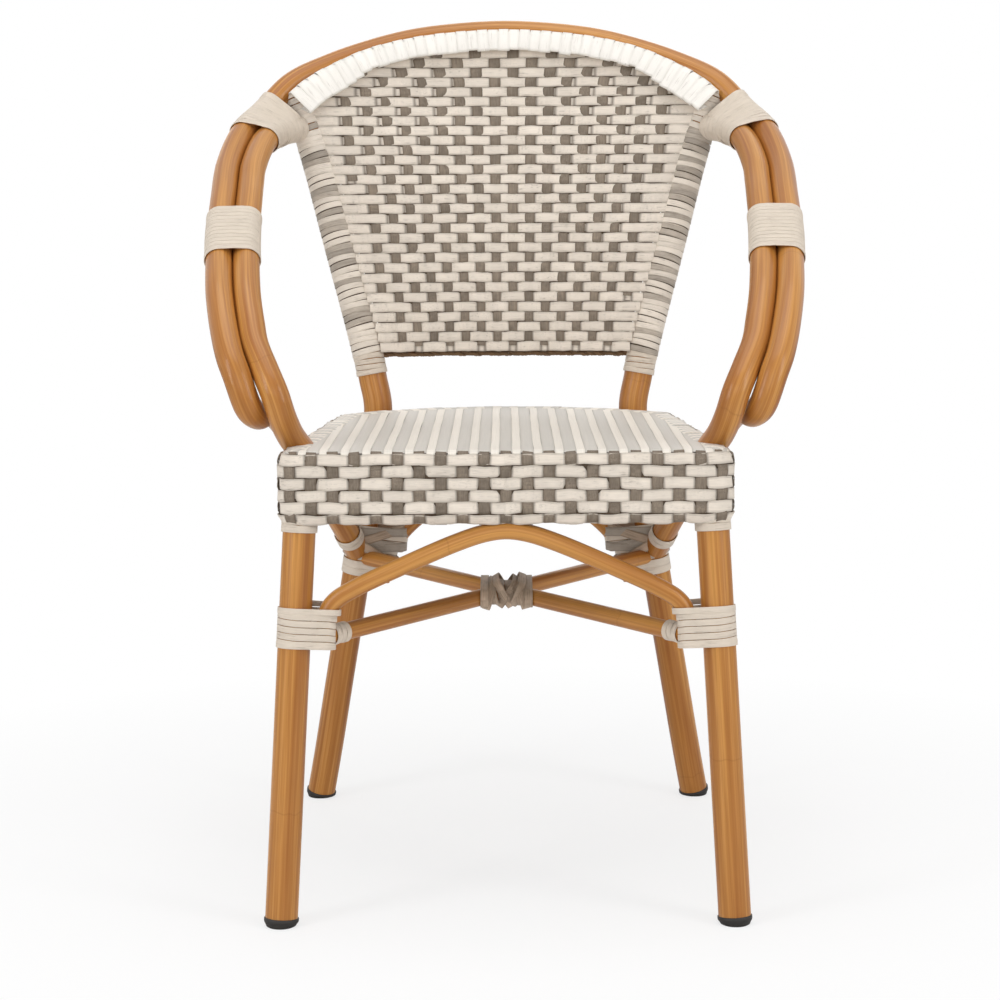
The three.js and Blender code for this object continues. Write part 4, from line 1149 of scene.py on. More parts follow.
class CHAIR_OT_tubes(ChairOperator, bpy.types.Operator):
    """Coated tubes: legs, arch, arms, braces and the back's own tubes"""
    bl_idname = "chair.tubes"
    bl_label = "Tubes"

    def build(self, scene):
        sizes = scene.chair_tubes
        front_leg = FRONT.part(FRONT.where(CAP_HEIGHT), FRONT.length)
        rear_leg = UPRIGHT.part(UPRIGHT.where(CAP_HEIGHT), UPRIGHT.length - 0.006)
        narrowing = np.ones(len(rear_leg))
        narrowing[-4:] = (0.98, 0.93, 0.85, 0.72)
        arch = RAIL.part(RAIL.length - JOINT_STATION, JOINT_STATION)
        front_arch = FRONT_ARCH.part(0.015, FRONT_ARCH.length - 0.015)
        rear_arch = REAR_ARCH.part(0, REAR_ARCH.length)
        hoop = HOOP.part(0, HOOP.length)
        left_front, left_rear = mirrored(CROSS_FRONT), mirrored(CROSS_REAR)
        for node, places, diameter, tint, girth in (
            ("front_leg", front_leg, sizes.leg, 0.2, 1.0),
            ("rear_leg", rear_leg, sizes.leg, 0.55, narrowing),
            ("outer_arm", RAIL.part(JOINT_STATION, RAIL.length), sizes.arm, 0.9, 1.0),
            ("inner_arm", INNER.part(0, INNER.length), sizes.arm, 0.35, 1.0),
            ("back_arch", arch, sizes.arm, 0.7, 1.0),
            ("front_arch_brace", front_arch, sizes.brace, 0.15, 1.0),
            ("rear_arch_brace", rear_arch, sizes.brace, 0.8, 1.0),
            ("cross_brace_long", line(left_front, CROSS_REAR).places, sizes.brace, 0.45, 1.0),
            ("back_lower_rail", BACK_RAIL.places[::3], sizes.back_rail, 0.3, 1.0),
            ("back_inner_hoop", hoop, sizes.hoop, 0.6, 1.0),
            ("cross_brace_half_front", line(CROSS_FRONT, CROSSING).places, sizes.brace, 0.25, 1.0),
            ("cross_brace_half_rear", line(CROSSING, left_rear).places, sizes.brace, 0.25, 1.0),
        ):
            item = {"places": places, "girth": girth, "tint": tint}
            for piece, own_node, lines in sides_of("tube_" + node, node, [item]):
                if own_node.endswith("_left"):
                    lines[0]["tint"] = tint + 0.13
                settle(tubes(piece, lines, diameter), "tube_wood", own_node)


class CHAIR_OT_inner_rails(ChairOperator, bpy.types.Operator):
    """Bare rails that the seat is woven on, and the sleeves inside the arch's joints"""
    bl_idname = "chair.inner_rails"
    bl_label = "Inner rails"

    def build(self, scene):
        sizes = scene.chair_tubes
        seat, apron = (EDGE_RADIUS, SEAT_RAIL_HEIGHT), (APRON_RAIL_INSET, APRON_RAIL_HEIGHT)
        support_height = SEAT_TOP - SKIN - FIT - APRON_TUBE / 2
        supports = [
            [mirrored(end), end] for end in (
                seat_side(EDGE_RADIUS, SEAT_DEPTH * share, support_height)
                for share in SUPPORT_SHARES
            )
        ]
        for name, places, diameter, node in (
            ("rail_seat_front", self.front(*seat), sizes.seat, "seat_front_rail"),
            ("rail_seat_rear", self.rear(*seat), sizes.seat, "seat_rear_rail"),
            ("rail_apron_front", self.front(*apron), sizes.apron, "apron_front_rail"),
            ("rail_apron_rear", self.rear(*apron), sizes.apron, "apron_rear_rail"),
            ("rail_support_1", supports[0], sizes.apron, "seat_support_bar_1"),
            ("rail_support_2", supports[1], sizes.apron, "seat_support_bar_2"),
            ("rail_seat_side", self.side(*seat, REAR_CORNER_BACK - EDGE_RADIUS / 2), sizes.seat,
             "seat_side_rail"),
            ("rail_apron_side", self.side(*apron, REAR_CORNER_BACK), sizes.apron,
             "apron_side_rail"),
        ):
            for piece, own_node, lines in sides_of(name, node, [{"places": np.array(places)}]):
                settle(tubes(piece, lines, diameter, "metal"), "inner_metal", own_node)
        for side in ("right", "left"):
            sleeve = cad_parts[f"arch_joint_sleeve_{side}"]
            sleeve.material_slots[0].material = finish("metal")

    @staticmethod
    def front(inset, height):
        end = at(CORNER_ACROSS, inset, height)
        return [mirrored(end), end]

    @staticmethod
    def side(inset, height, back):
        return [seat_side(inset, CORNER_RADIUS, height), seat_side(inset, back, height)]

    @staticmethod
    def rear(inset, height):
        """An arc behind the seat, from corner to corner."""
        radius = REAR_RADIUS - inset
        turns = math.asin(REAR_CORNER_ACROSS / radius) * np.linspace(0, 1, 5)
        return smooth(whole([
            at(radius * math.sin(turn), REAR_CENTRE + radius * math.cos(turn), height)
            for turn in turns
        ]))


class CHAIR_OT_foot_caps(ChairOperator, bpy.types.Operator):
    """Moulded caps on the four feet"""
    bl_idname = "chair.foot_caps"
    bl_label = "Foot caps"

    # Radius and height of each corner of the turned shape, from the sole up
    PROFILE = (
        (0.0130, 0.0), (0.0142, 0.0006), (0.0150, 0.0022), (0.0163, 0.0042), (0.0165, 0.0052),
        (0.0165, 0.0074), (0.0160, 0.0080), (0.0134, 0.0080), (0.0130, 0.0320),
    )
    SIDES = 48
    SOLE = 0.006

    def build(self, scene):
        for name, route, node in (
            ("foot_front", FRONT, "front_foot_cap"), ("foot_rear", UPRIGHT, "rear_foot_cap"),
        ):
            foot, lean = route.at(0.0), route.heading(0.0)
            for side, flip in (("right", (1, 1, 1)), ("left", (-1, 1, 1))):
                piece = self.cap(f"{name}_{side}", foot * flip, lean * flip)
                settle(piece, "foot_black", f"{node}_{side}")

    def cap(self, name, foot, lean):
        """A turned cap whose sole lies flat on the floor while its body follows the leg."""
        places = []
        for radius, height in self.PROFILE:
            axis = np.array([foot[0], foot[1], 0.0]) + lean * height / lean[2]
            level = min(1.0, height / self.SOLE)
            for angle in 2 * math.pi * np.arange(self.SIDES) / self.SIDES:
                tilt = -(lean[0] * math.cos(angle) + lean[1] * math.sin(angle)) / lean[2]
                places.append((
                    axis[0] + radius * math.cos(angle),
                    axis[1] + radius * math.sin(angle),
                    axis[2] + radius * tilt * level,
                ))
        faces = ring_faces(len(self.PROFILE), self.SIDES)
        faces.append(tuple(reversed(range(self.SIDES))))
        faces.append(tuple(range(len(places) - self.SIDES, len(places))))
        return face_piece(name, places, faces, "rubber")


class CHAIR_OT_bindings(ChairOperator, bpy.types.Operator):
    """Flat strip wound round the joints, and the cuffs"""
    bl_idname = "chair.bindings"
    bl_label = "Bindings"

    def build(self, scene):
        sizes = scene.chair_tubes
        leg, rear = (FRONT, sizes.leg / 2), (UPRIGHT, sizes.leg / 2)
        outer, inner = (RAIL, sizes.arm / 2), (INNER, sizes.arm / 2)
        brace = sizes.brace / 2
        shoulder = SHOULDER_STATION + sizes.leg * 1.56
        middle = SHOULDER_STATION + NOSE_REACH * 0.525
        upper = [shoulder + step for step in AFTER_SHOULDER]
        drawn = (self.drawn_in(*upper), sizes.arm / 2)
        cross = line(CROSS_FRONT, CROSSING)
        joint = Bundle([rear, (REAR_FEET, brace)], ASIDE)
        foot = Bundle([leg, (FRONT_ARCH, brace)], ASIDE)
        front = [FRONT.where(height) for height in FRONT_BINDING]
        parting = {
            "heart": cross.places[0] + unit(cross.places[-1] - cross.places[0])
            * (sizes.leg / 2 + 0.0016),
            "station": FRONT.where(CROSS_FRONT[2]) - front[0],
            "radius": brace,
        }
        for node, route, span, bundle, strips_seen, name in (
            ("upper_arm_binding", RAIL, upper, Bundle([outer, drawn], ASIDE), 11, None),
            ("middle_arm_binding", RAIL, [middle + step for step in AFTER_MIDDLE],
             Bundle([outer, inner], ASIDE), 12, None),
            ("upper_arm_binding", INNER, INNER_CUFF, Bundle([inner], ASIDE), 4, "inner_arm_cuff"),
            ("front_leg_binding", FRONT, front, foot, 6, None),
            ("front_leg_top_cuff", FRONT, [FRONT.where(height) for height in FRONT_TOP_CUFF],
             Bundle([leg], AHEAD), 2, None),
            ("cross_brace_front_cuff", cross, CROSS_CUFF, Bundle([(cross, brace)], AHEAD), 3, None),
            ("back_bottom_cuff", UPRIGHT, [UPRIGHT.where(height) for height in BACK_CUFF],
             Bundle([rear], AHEAD), 4, None),
            ("rear_leg_cuff", UPRIGHT, [UPRIGHT.where(height) for height in REAR_CUFF],
             joint, 2, None),
            ("rear_leg_binding", UPRIGHT, [UPRIGHT.where(height) for height in REAR_BINDING],
             joint, 5, None),
        ):
            opening = parting if node == "front_leg_binding" else None
            self.wind(name or "wound_" + node, node, route, span, bundle, strips_seen, opening)
        self.rear_wrap(joint)
        arm_end = [RAIL.length - step for step in BEFORE_ARM_END]
        self.wind("arm_end_cuff", "rear_leg_binding", RAIL, arm_end, Bundle([outer], AHEAD), 2)

    @staticmethod
    def drawn_in(start, end):
        """The inner arm as the shoulder's binding holds it, no farther from the outer one."""
        places = []
        for share in np.linspace(-0.1, 1.1, 60):
            station = start + (end - start) * share
            origin, tangent = RAIL.at(station), RAIL.heading(station)
            away = INNER.places - origin
            flat = away[np.abs(away @ tangent).argmin()]
            flat = flat - flat @ tangent * tangent
            limit = 0.023 + 0.010 * min(1.0, max(0.0, share * 1.6))
            places.append(origin + flat * min(1.0, limit / np.linalg.norm(flat)))
        return Route(np.array(places))

    @staticmethod
    def wind(name, node, route, span, bundle, strips_seen, parting=None):
        axis = Route(route.part(*span, 0.001))
        lines, width = winding(axis, bundle, strips_seen, parting)
        add_winding(name, lines, width, node)

    @staticmethod
    def rear_wrap(bundle):
        """Taupe strips that cross on the joint of the rear leg and its brace."""
        station = UPRIGHT.where(REAR_JOINT_HEIGHT)
        width = 0.010
        lines = crossed_rings(bundle, UPRIGHT.at(station), UPRIGHT.heading(station), width, (
            (5, 0.012, 0.0013), (-7, 0.003, 0.0013), (6, -0.006, 0.0013), (-6, -0.014, 0.0013),
            (24, 0.001, 0.0026), (-26, -0.001, 0.0039),
        ))
        add_winding("level_wrap", lines[:4], width, "rear_leg_binding", "taupe_strip")
        add_winding("crossed_wrap", lines[4:], width, "rear_leg_binding", "knot_strip")


class CHAIR_OT_knot(ChairOperator, bpy.types.Operator):
    """Strip wound round the crossing of the braces"""
    bl_idname = "chair.knot"
    bl_label = "Centre knot"

    def build(self, scene):
        radius = scene.chair_tubes.brace / 2
        heart = np.array(CROSSING)
        across = np.array((1.0, 0, 0))
        one = line(mirrored(CROSS_FRONT), CROSS_REAR)
        other = line(CROSS_FRONT, mirrored(CROSS_REAR))
        bundle = Bundle([(one, radius), (other, radius)], AHEAD)
        half = across * 0.027
        axis = Route(np.linspace(heart - half, heart + half, 60))
        lines, width = winding(axis, bundle, 6)
        add_winding("wound_knot", lines, width, "centre_knot_binding", "knot_strip")
        crossed_width = 0.008
        crossed = crossed_rings(bundle, heart, across, crossed_width, (
            (34, 0.001, 0.0016), (-30, -0.003, 0.0030), (22, 0.011, 0.0030), (-16, 0.016, 0.0016),
            (18, -0.017, 0.0016),
        ))
        add_winding("crossed_knot", crossed, crossed_width, "centre_knot_binding", "knot_strip")


class CHAIR_OT_back_weave(ChairOperator, bpy.types.Operator):
    """Plain weave of the back: cream rows and taupe uprights that fan out a little"""
    bl_idname = "chair.back_weave"
    bl_label = "Back weave"

    def build(self, scene):
        sizes = scene.chair_weave
        heights = np.arange(BACK_RAIL_HEIGHT - 0.001, ROWS_TOP, sizes.back_row)
        settle(self.rows(sizes, heights), "weave_cream", "back_weave_panel")
        for piece in (self.uprights(sizes, heights), self.depths(sizes, heights),
                      self.lower_edge()):
            settle(piece, "weave_taupe", "back_weave_panel")

    @staticmethod
    def pitch(height):
        """Distance between the uprights, which grows with the height."""
        return 0.0174 + (height - 0.529) * 0.0146

    @staticmethod
    def half_width(height):
        """Half the width of the back at a height."""
        places, _ = back_places(np.ones_like(height), height)
        return places[..., 0]

    def rows(self, sizes, heights):
        """Cream strands across the back, one to a row, as far as the hoop lets them."""
        lines = []
        for index, height in enumerate(heights):
            across = np.linspace(-1.03, 1.03, 230)
            places, rise = back_places(across, height)
            inside = rise < PANEL_OVER_HOOP
            if inside.sum() < 16:
                continue
            across, places = across[inside], places[inside]
            pitch = self.pitch(height)
            reach = self.half_width(np.array(height)) - 0.011
            last = math.floor(reach / pitch - 0.5) + 0.5
            wave = crossing_wave(places[:, 0] / pitch + 0.5 + index, 0.6)
            wave = np.where(np.abs(places[:, 0]) > (last + 0.42) * pitch, 1.0, wave)
            facing = back_normals(across, height)
            lines.append(strand(places, facing, wave, sizes.wave, 100 + index * 7))
        return strips("weave_back_rows", lines, sizes.back_row, sizes.thickness, "cream")

    def uprights(self, sizes, heights):
        """Taupe strands from round the lower rail up to the hoop, or from behind a side wrap."""
        lines = []
        for index in range(-11, 11):
            place = index + 0.5
            height = np.linspace(BACK_RAIL_HEIGHT, ROWS_TOP, 190)
            across = place * self.pitch(height) / self.half_width(height)
            places, rise = back_places(across, height)
            room = self.half_width(height) - np.abs(place) * self.pitch(height)
            inside = (rise < PANEL_OVER_HOOP) & (room > 0.0112)
            if inside.sum() < 12:
                continue
            across, height, places = across[inside], height[inside], places[inside]
            wave = -crossing_wave((height - heights[0]) / sizes.back_row + index + 1)
            girth = (self.pitch(height) / 0.0190) ** 1.6
            facing = back_normals(across, height)
            lines.append(strand(places, facing, wave, sizes.wave, 900 + index * 7, girth))
            if height[0] < BACK_RAIL_HEIGHT + 0.001:
                lines.append(self.hem(places[0], girth[0]))
        return strips("weave_back_uprights", lines, 0.0102, sizes.thickness, "taupe")

    @staticmethod
    def hem(top, girth):
        """The end of an upright strand, turned under the lower rail."""
        radius = bpy.context.scene.chair_tubes.back_rail / 2 + 0.0022
        rail_width = 2 * BACK_RAIL_END[0]
        axis = BACK_RAIL.at(BACK_RAIL.length * (top[0] / rail_width + 0.5))
        axis = np.array((top[0], axis[1], BACK_RAIL_HEIGHT))
        turn = np.linspace(-0.4, math.pi, 18)
        out = np.stack([np.zeros(18), -np.cos(turn), -np.sin(turn)], 1)
        return {"places": axis + out * radius, "lay": out, "girth": girth, "tint": 0.4}

    @staticmethod
    def depths(sizes, heights):
        """Thin dark strips halfway through the weave: painted shade in the gaps between two rows.
        """
        lines = []
        for height in heights + sizes.back_row / 2:
            across = np.linspace(-1, 1, 60)
            places, rise = back_places(across, height)
            inside = rise < 1.05
            if inside.sum() > 6:
                facing = back_normals(across[inside], height)
                lines.append({"places": places[inside], "lay": facing})
        return strips("weave_back_depths", lines, 0.0030, 0.0003, "shade")

    @staticmethod
    def lower_edge():
        """Two thin brown strands twisted along the back's lower edge."""
        count, twist_length, twist_radius = 150, 0.017, 0.0014
        along = np.linspace(0.012, BACK_RAIL.length - 0.012, count)
        lines = []
        for k in range(2):
            places = BACK_RAIL.at(along)
            turn = along / twist_length * 2 * math.pi + k * math.pi
            swing = wobble(count, 40 + k, 5) * 0.0007
            places[:, 1] += -0.0058 + twist_radius * np.cos(turn)
            places[:, 2] += -0.0090 + twist_radius * np.sin(turn) + swing
            facing = np.stack([np.zeros(count), -np.cos(turn), -np.sin(turn)], 1)
            lines.append({"places": places, "lay": facing, "tint": 0.3 * k})
        return strips("weave_back_lower_edge", lines, 0.0046, 0.0030, "twine")


class CHAIR_OT_side_wraps(ChairOperator, bpy.types.Operator):
    """Strands that go round the uprights beside the back, mostly cream and some taupe"""
    bl_idname = "chair.side_wraps"
    bl_label = "Side wraps"

    # How often a strand is taupe, at some heights
    TAUPE_HEIGHTS = (0.51, 0.58, 0.66, 0.74, 0.765)
    TAUPE_SHARES = (0.25, 0.3, 0.4, 0.4, 0)

    def build(self, scene):
        leg = scene.chair_tubes.leg
        step = scene.chair_weave.back_row * 0.58
        heights = np.arange(BACK_RAIL_HEIGHT - 0.006, SIDE_WRAP_END, step)
        # Painted shade: a dark tube inside the wraps that shows through the gaps between them
        shade_core = UPRIGHT.part(UPRIGHT.where(0.512), UPRIGHT.where(SIDE_WRAP_TOP))
        for side, sign in (("right", 1), ("left", -1)):
            node = f"back_side_wrap_{side}"
            places = shade_core * (sign, 1, 1)
            piece = tubes(f"wrap_lining_{side}", [{"places": places}], leg + 0.0016, "shade")
            settle(piece, "weave_taupe", node)
            groups = ([], [])
            chances = np.random.RandomState(70 + sign).uniform(size=len(heights))
            for index, height in enumerate(heights):
                share = np.interp(height, self.TAUPE_HEIGHTS, self.TAUPE_SHARES)
                kind = int(chances[index] < share)
                groups[kind].append(self.loop(height, leg / 2 + 0.0014, sign, index))
            for kind, slot, group in (("cream", "weave_cream", groups[0]),
                                      ("taupe_wrap", "weave_taupe", groups[1])):
                piece = strips(f"wrap_{kind}_{side}", group, step + 0.0004, 0.0012, kind)
                settle(piece, slot, node)

    @staticmethod
    def loop(height, radius, sign, index):
        """A strand round the upright, whole below the arm and open behind it above."""
        station = UPRIGHT.where(height)
        axis = UPRIGHT.heading(station)
        across = unit(np.array((1.0, 0, 0)) - axis[0] * axis)
        ahead = np.cross(axis, across)
        closed = height < SIDE_WRAP_TOP
        seed = 300 + index * 5 + (1 if sign > 0 else 0)
        if closed:
            angles = np.linspace(0, 2 * math.pi, 49)[:-1]
        else:
            angles = np.linspace(math.radians(100), math.radians(345), 40)
        out = np.cos(angles)[:, None] * across + np.sin(angles)[:, None] * ahead
        sway = np.sin(angles + seed)[:, None] * axis * 0.0009
        flip = (sign, 1, 1)
        return {
            "places": (UPRIGHT.at(station) + out * radius + sway) * flip,
            "lay": unit(out + axis * 0.07) * flip,
            "closed": closed,
            "girth": 0.97 + 0.03 * np.sin(angles * 2 + seed),
            "tint": chance(seed),
        }


class CHAIR_OT_top_border(ChairOperator, bpy.types.Operator):
    """Pale strands looped over the hoop, which hold the back's top edge. Their white is partly
    their own tone and partly a painted highlight of the light on the top edge
    """
    bl_idname = "chair.top_border"
    bl_label = "Top border"

    def build(self, scene):
        pitch, margin = 0.0118, 0.005
        reach = BORDER.length - 2 * margin
        count = int(reach / pitch)
        stations = margin + reach * (np.arange(count) + 0.5) / count
        radius = scene.chair_tubes.hoop / 2 + 0.0012
        lines = [self.loop(radius, station, index) for index, station in enumerate(stations)]
        thickness = scene.chair_weave.thickness
        settle(strips("border_loops", lines, pitch + 0.0004, thickness, "white"), "weave_cream")

    @staticmethod
    def loop(radius, station, index):
        """One closed loop round the hoop and the top edge of the weave, longer at the corners."""
        centre = BORDER.at(station)
        tangent = BORDER.heading(station)
        front = np.array(AHEAD, float)
        ahead = unit(front - front @ tangent * tangent)
        side = np.cross(tangent, ahead)
        down = side if side[2] < 0 else -side
        uneven = np.random.RandomState(500 + index)
        corner = min(1.0, max(0.0, (abs(centre[0]) - 0.150) / 0.05))
        drop = 0.0090 + 0.0095 * corner + uneven.uniform(-0.0008, 0.0012)
        circles = []
        for forward, fall, size in (
            (0, 0, radius), (0.001, -0.0028, radius), (0.0108, drop, 0.0020),
        ):
            offset = ahead * forward + down * fall
            circles.append((offset @ ahead, offset @ side, size))
        flat = hull_loop(np.array(circles).T, 40)
        places = centre + flat[:, :1] * ahead + flat[:, 1:] * side
        lay = unit(np.cross(loop_headings(places), tangent))
        height = (centre - places) @ down
        girth = 1.08 - 0.16 * np.clip((height - 0.004) / 0.006, 0, 1)
        places = places + lay * (0.0004 * (index % 2))
        return {"places": places, "lay": lay, "closed": True, "girth": girth,
                "tint": uneven.uniform()}


# The seat

def seat_outline():
    """The seat's outline seen from above, as a closed route from the middle of the front. Half of
    it is a round corner about the leg, a small rear corner and a wide rear arc."""
    rows = [np.array([[0.0, SEAT_FRONT]])]
    for across, back, radius, start, end in (
        (CORNER_ACROSS, CORNER_RADIUS, CORNER_RADIUS, -math.pi / 2, SIDE_ANGLE),
        (REAR_CORNER_ACROSS, REAR_CORNER_BACK, REAR_CORNER_RADIUS, SIDE_ANGLE, REAR_TURN),
        (0, REAR_CENTRE, REAR_RADIUS, REAR_TURN, math.pi / 2),
    ):
        angles = np.linspace(start, end, 24)
        rows.append(np.stack([
            across + radius * np.cos(angles), SEAT_FRONT + back + radius * np.sin(angles),
        ], 1))
    half = np.vstack(rows)
    flat = np.vstack([half, half[-2::-1] * (-1, 1)])
    return Route(np.column_stack([flat, np.zeros(len(flat))]))


OUTLINE = seat_outline()


def seat_places(along, down):
    """Places on the middle of the seat's skin and the way it faces there: along the outline, and
    down from the flat top, over the rolled edge, down the apron and round the apron rail."""
    along, down = np.broadcast_arrays(np.asarray(along, float), np.asarray(down, float))
    edge = OUTLINE.at(along % OUTLINE.length)
    heading = OUTLINE.heading(along % OUTLINE.length, 0.002)
    inwards = np.stack([-heading[..., 1], heading[..., 0], np.zeros(along.shape)], -1)
    rise = np.array((0.0, 0.0, 1.0))
    roll = np.clip(down, 0, ROLL_LENGTH) / EDGE_RADIUS
    drop = np.clip(down - ROLL_LENGTH, 0, APRON_DROP)
    under = np.clip(down - ROLL_LENGTH - APRON_DROP, 0, None) / APRON_RAIL_INSET
    inset = (
        EDGE_RADIUS - EDGE_RADIUS * np.sin(roll) + np.maximum(-down, 0)
        + APRON_RAIL_INSET * (1 - np.cos(under))
    )
    height = (
        SEAT_TOP - EDGE_RADIUS + EDGE_RADIUS * np.cos(roll) - drop
        - APRON_RAIL_INSET * np.sin(under)
    )
    places = edge + inwards * inset[..., None] + rise * height[..., None]
    turn = roll + under
    facing = rise * np.cos(turn)[..., None] - inwards * np.sin(turn)[..., None]
    return places, facing


def rolled(degrees):
    """How far down the seat's skin its rolled edge has turned by this much."""
    return EDGE_RADIUS * math.radians(degrees)


class CHAIR_OT_apron(ChairOperator, bpy.types.Operator):
    """Plain weave of the apron: cream rows round the seat and taupe uprights"""
    bl_idname = "chair.apron"
    bl_label = "Apron weave"

    def build(self, scene):
        sizes = scene.chair_weave
        columns = 2 * round(OUTLINE.length / sizes.seat_column / 2)
        pitch = OUTLINE.length / columns
        first = rolled(72)
        downs = first + sizes.seat_row * np.arange(APRON_ROWS)
        along = np.linspace(0, OUTLINE.length, columns * 10 + 1)[:-1]
        rows = []
        for index, down in enumerate(downs):
            places, facing = seat_places(along, down)
            wave = crossing_wave(along / pitch + index, 0.5)
            item = strand(places, facing, wave, sizes.wave, 2000 + index * 9, uneven=1.6)
            rows.append(dict(item, closed=True))
        piece = strips("weave_apron_rows", rows, sizes.seat_row - 0.0001, sizes.thickness, "cream")
        settle(piece, "weave_cream", "seat_apron_weave")
        down = np.linspace(rolled(30), downs[-1] + 0.008, 84)
        uprights = []
        for index in range(columns):
            places, facing = seat_places(np.full(down.shape, index * pitch), down)
            wave = -crossing_wave((down - first) / sizes.seat_row + index)
            wave = np.where(down < first - sizes.seat_row / 2, np.minimum(wave, 0.0), wave)
            item = strand(places, facing, wave, sizes.wave, 3000 + index * 5)
            # Painted shade at the top of each upright, where it runs under the seat's edge
            item["rise"][:6] = 0.2
            uprights.append(item)
        piece = strips("weave_apron_uprights", uprights, 0.0104, sizes.thickness, "taupe")
        settle(piece, "weave_taupe", "seat_apron_weave")
        settle(self.depths(downs[-1]), "weave_taupe", "seat_apron_weave")

    @staticmethod
    def depths(last):
        """A thin dark sheet halfway through the apron's weave: painted shade in the gaps between
        its strands.
        """
        rows, sides = 24, 180
        along = np.linspace(0, OUTLINE.length, sides + 1)[:-1]
        places = [
            tuple(place)
            for down in np.linspace(rolled(62), last, rows)
            for place in seat_places(along, down)[0]
        ]
        faces = [(a, d, c, b) for a, b, c, d in ring_faces(rows, sides)]
        piece = face_piece("weave_apron_depths", places, faces, "shade")
        wall = piece.modifiers.new("wall", "SOLIDIFY")
        wall.thickness = 0.0003
        wall.offset = 0
        piece.data = evaluated_mesh(piece)
        piece.modifiers.clear()
        return piece


class CHAIR_OT_deck(ChairOperator, bpy.types.Operator):
    """The seat's top: grey and cream strands from front to back, edged with short strands"""
    bl_idname = "chair.deck"
    bl_label = "Seat top"

    KINDS = (("deck_grey", "weave_taupe", 0.0124), ("deck_cream", "weave_cream", 0.0079))
    EDGE_WIDTH = 0.0100
    EDGE_START = 0.198

    def build(self, scene):
        sizes = scene.chair_weave
        edge = OUTLINE.places[:, :2]
        half = edge[: len(edge) // 2 + 1]
        step = sizes.seat_column / 2
        count = int(DECK_HALF_WIDTH / step)
        groups = ([], [])
        for index in range(-count, count + 1):
            item = self.strand(half, index * sizes.seat_column / 2, index)
            if item:
                groups[index % 2].append(item)
        for (kind, slot, width), group in zip(self.KINDS, groups):
            piece = strips("weave_" + kind, group, width, sizes.thickness, kind)
            settle(piece, slot, "seat_deck_weave")
        for (kind, slot, _), group in zip(self.KINDS, self.edging(sizes)):
            name = kind.replace("deck", "weave_edge")
            piece = strips(name, group, self.EDGE_WIDTH, sizes.thickness, kind)
            settle(piece, slot, "seat_deck_weave")

    @staticmethod
    def strand(half, across, index):
        """One strand over the top, from the roll of the front edge to just inside the far edge.
        Every other one is cream, stands a little higher and starts farther round the edge."""
        cream = index % 2
        reach = abs(across) + 0.009
        front = half[0][1]
        rear_part = half[half[:, 1] > front + 0.02]
        order = np.argsort(rear_part[:, 0])
        back = np.interp(reach, rear_part[order, 0], rear_part[order, 1]) - 0.004
        if back - front < 0.04 or reach > rear_part[:, 0].max():
            return None
        roll = np.linspace(math.radians(60 if cream else 38), 0, 12)
        radius = EDGE_RADIUS - DECK_DEPTH
        near = np.stack([
            np.full(12, across), front + EDGE_RADIUS - radius * np.sin(roll),
            SEAT_TOP - EDGE_RADIUS + radius * np.cos(roll),
        ], 1)
        near_facing = np.stack([np.zeros(12), -np.sin(roll), np.cos(roll)], 1)
        middle = np.linspace(near[-1][1], back, 90)[1:]
        flat = np.stack([
            across + wobble(89, 700 + index, 12) * 0.0003, middle,
            np.full(89, SEAT_TOP - DECK_DEPTH),
        ], 1)
        rise = np.ones(101)
        # These rises only set painted shade: the grey strands darken where they start under the
        # front edge
        rise[:5] = (0.8, 0.9, 1, 1, 1) if cream else (0.1, 0.3, 0.6, 0.8, 0.95)
        return {
            "places": np.vstack([near, flat]) + (0, 0, 0.0003 * cream),
            "lay": np.vstack([near_facing, np.tile((0.0, 0.0, 1.0), (89, 1))]),
            "tint": chance(800 + index),
            "rise": rise,
        }

    def edging(self, sizes):
        """Short strands over the sides and the rear of the top, from the apron's first row."""
        groups = ([], [])
        columns = 4 * round(OUTLINE.length / sizes.seat_column / 2)
        pitch = OUTLINE.length / columns
        down = np.linspace(-EDGE_REACH, rolled(66), 26)
        taper = np.clip((down + EDGE_REACH) / 0.004, 0, 1)
        for index in range(columns):
            along = index * pitch
            if along < self.EDGE_START or along > OUTLINE.length - self.EDGE_START:
                continue
            places, facing = seat_places(np.full(26, along), down)
            depth = 0.0010 * taper - 0.0010 - index % 7 * 0.00012
            groups[index % 2].append({
                "places": places + facing * depth[:, None], "lay": facing,
                "tint": chance(1500 + index),
            })
        return groups


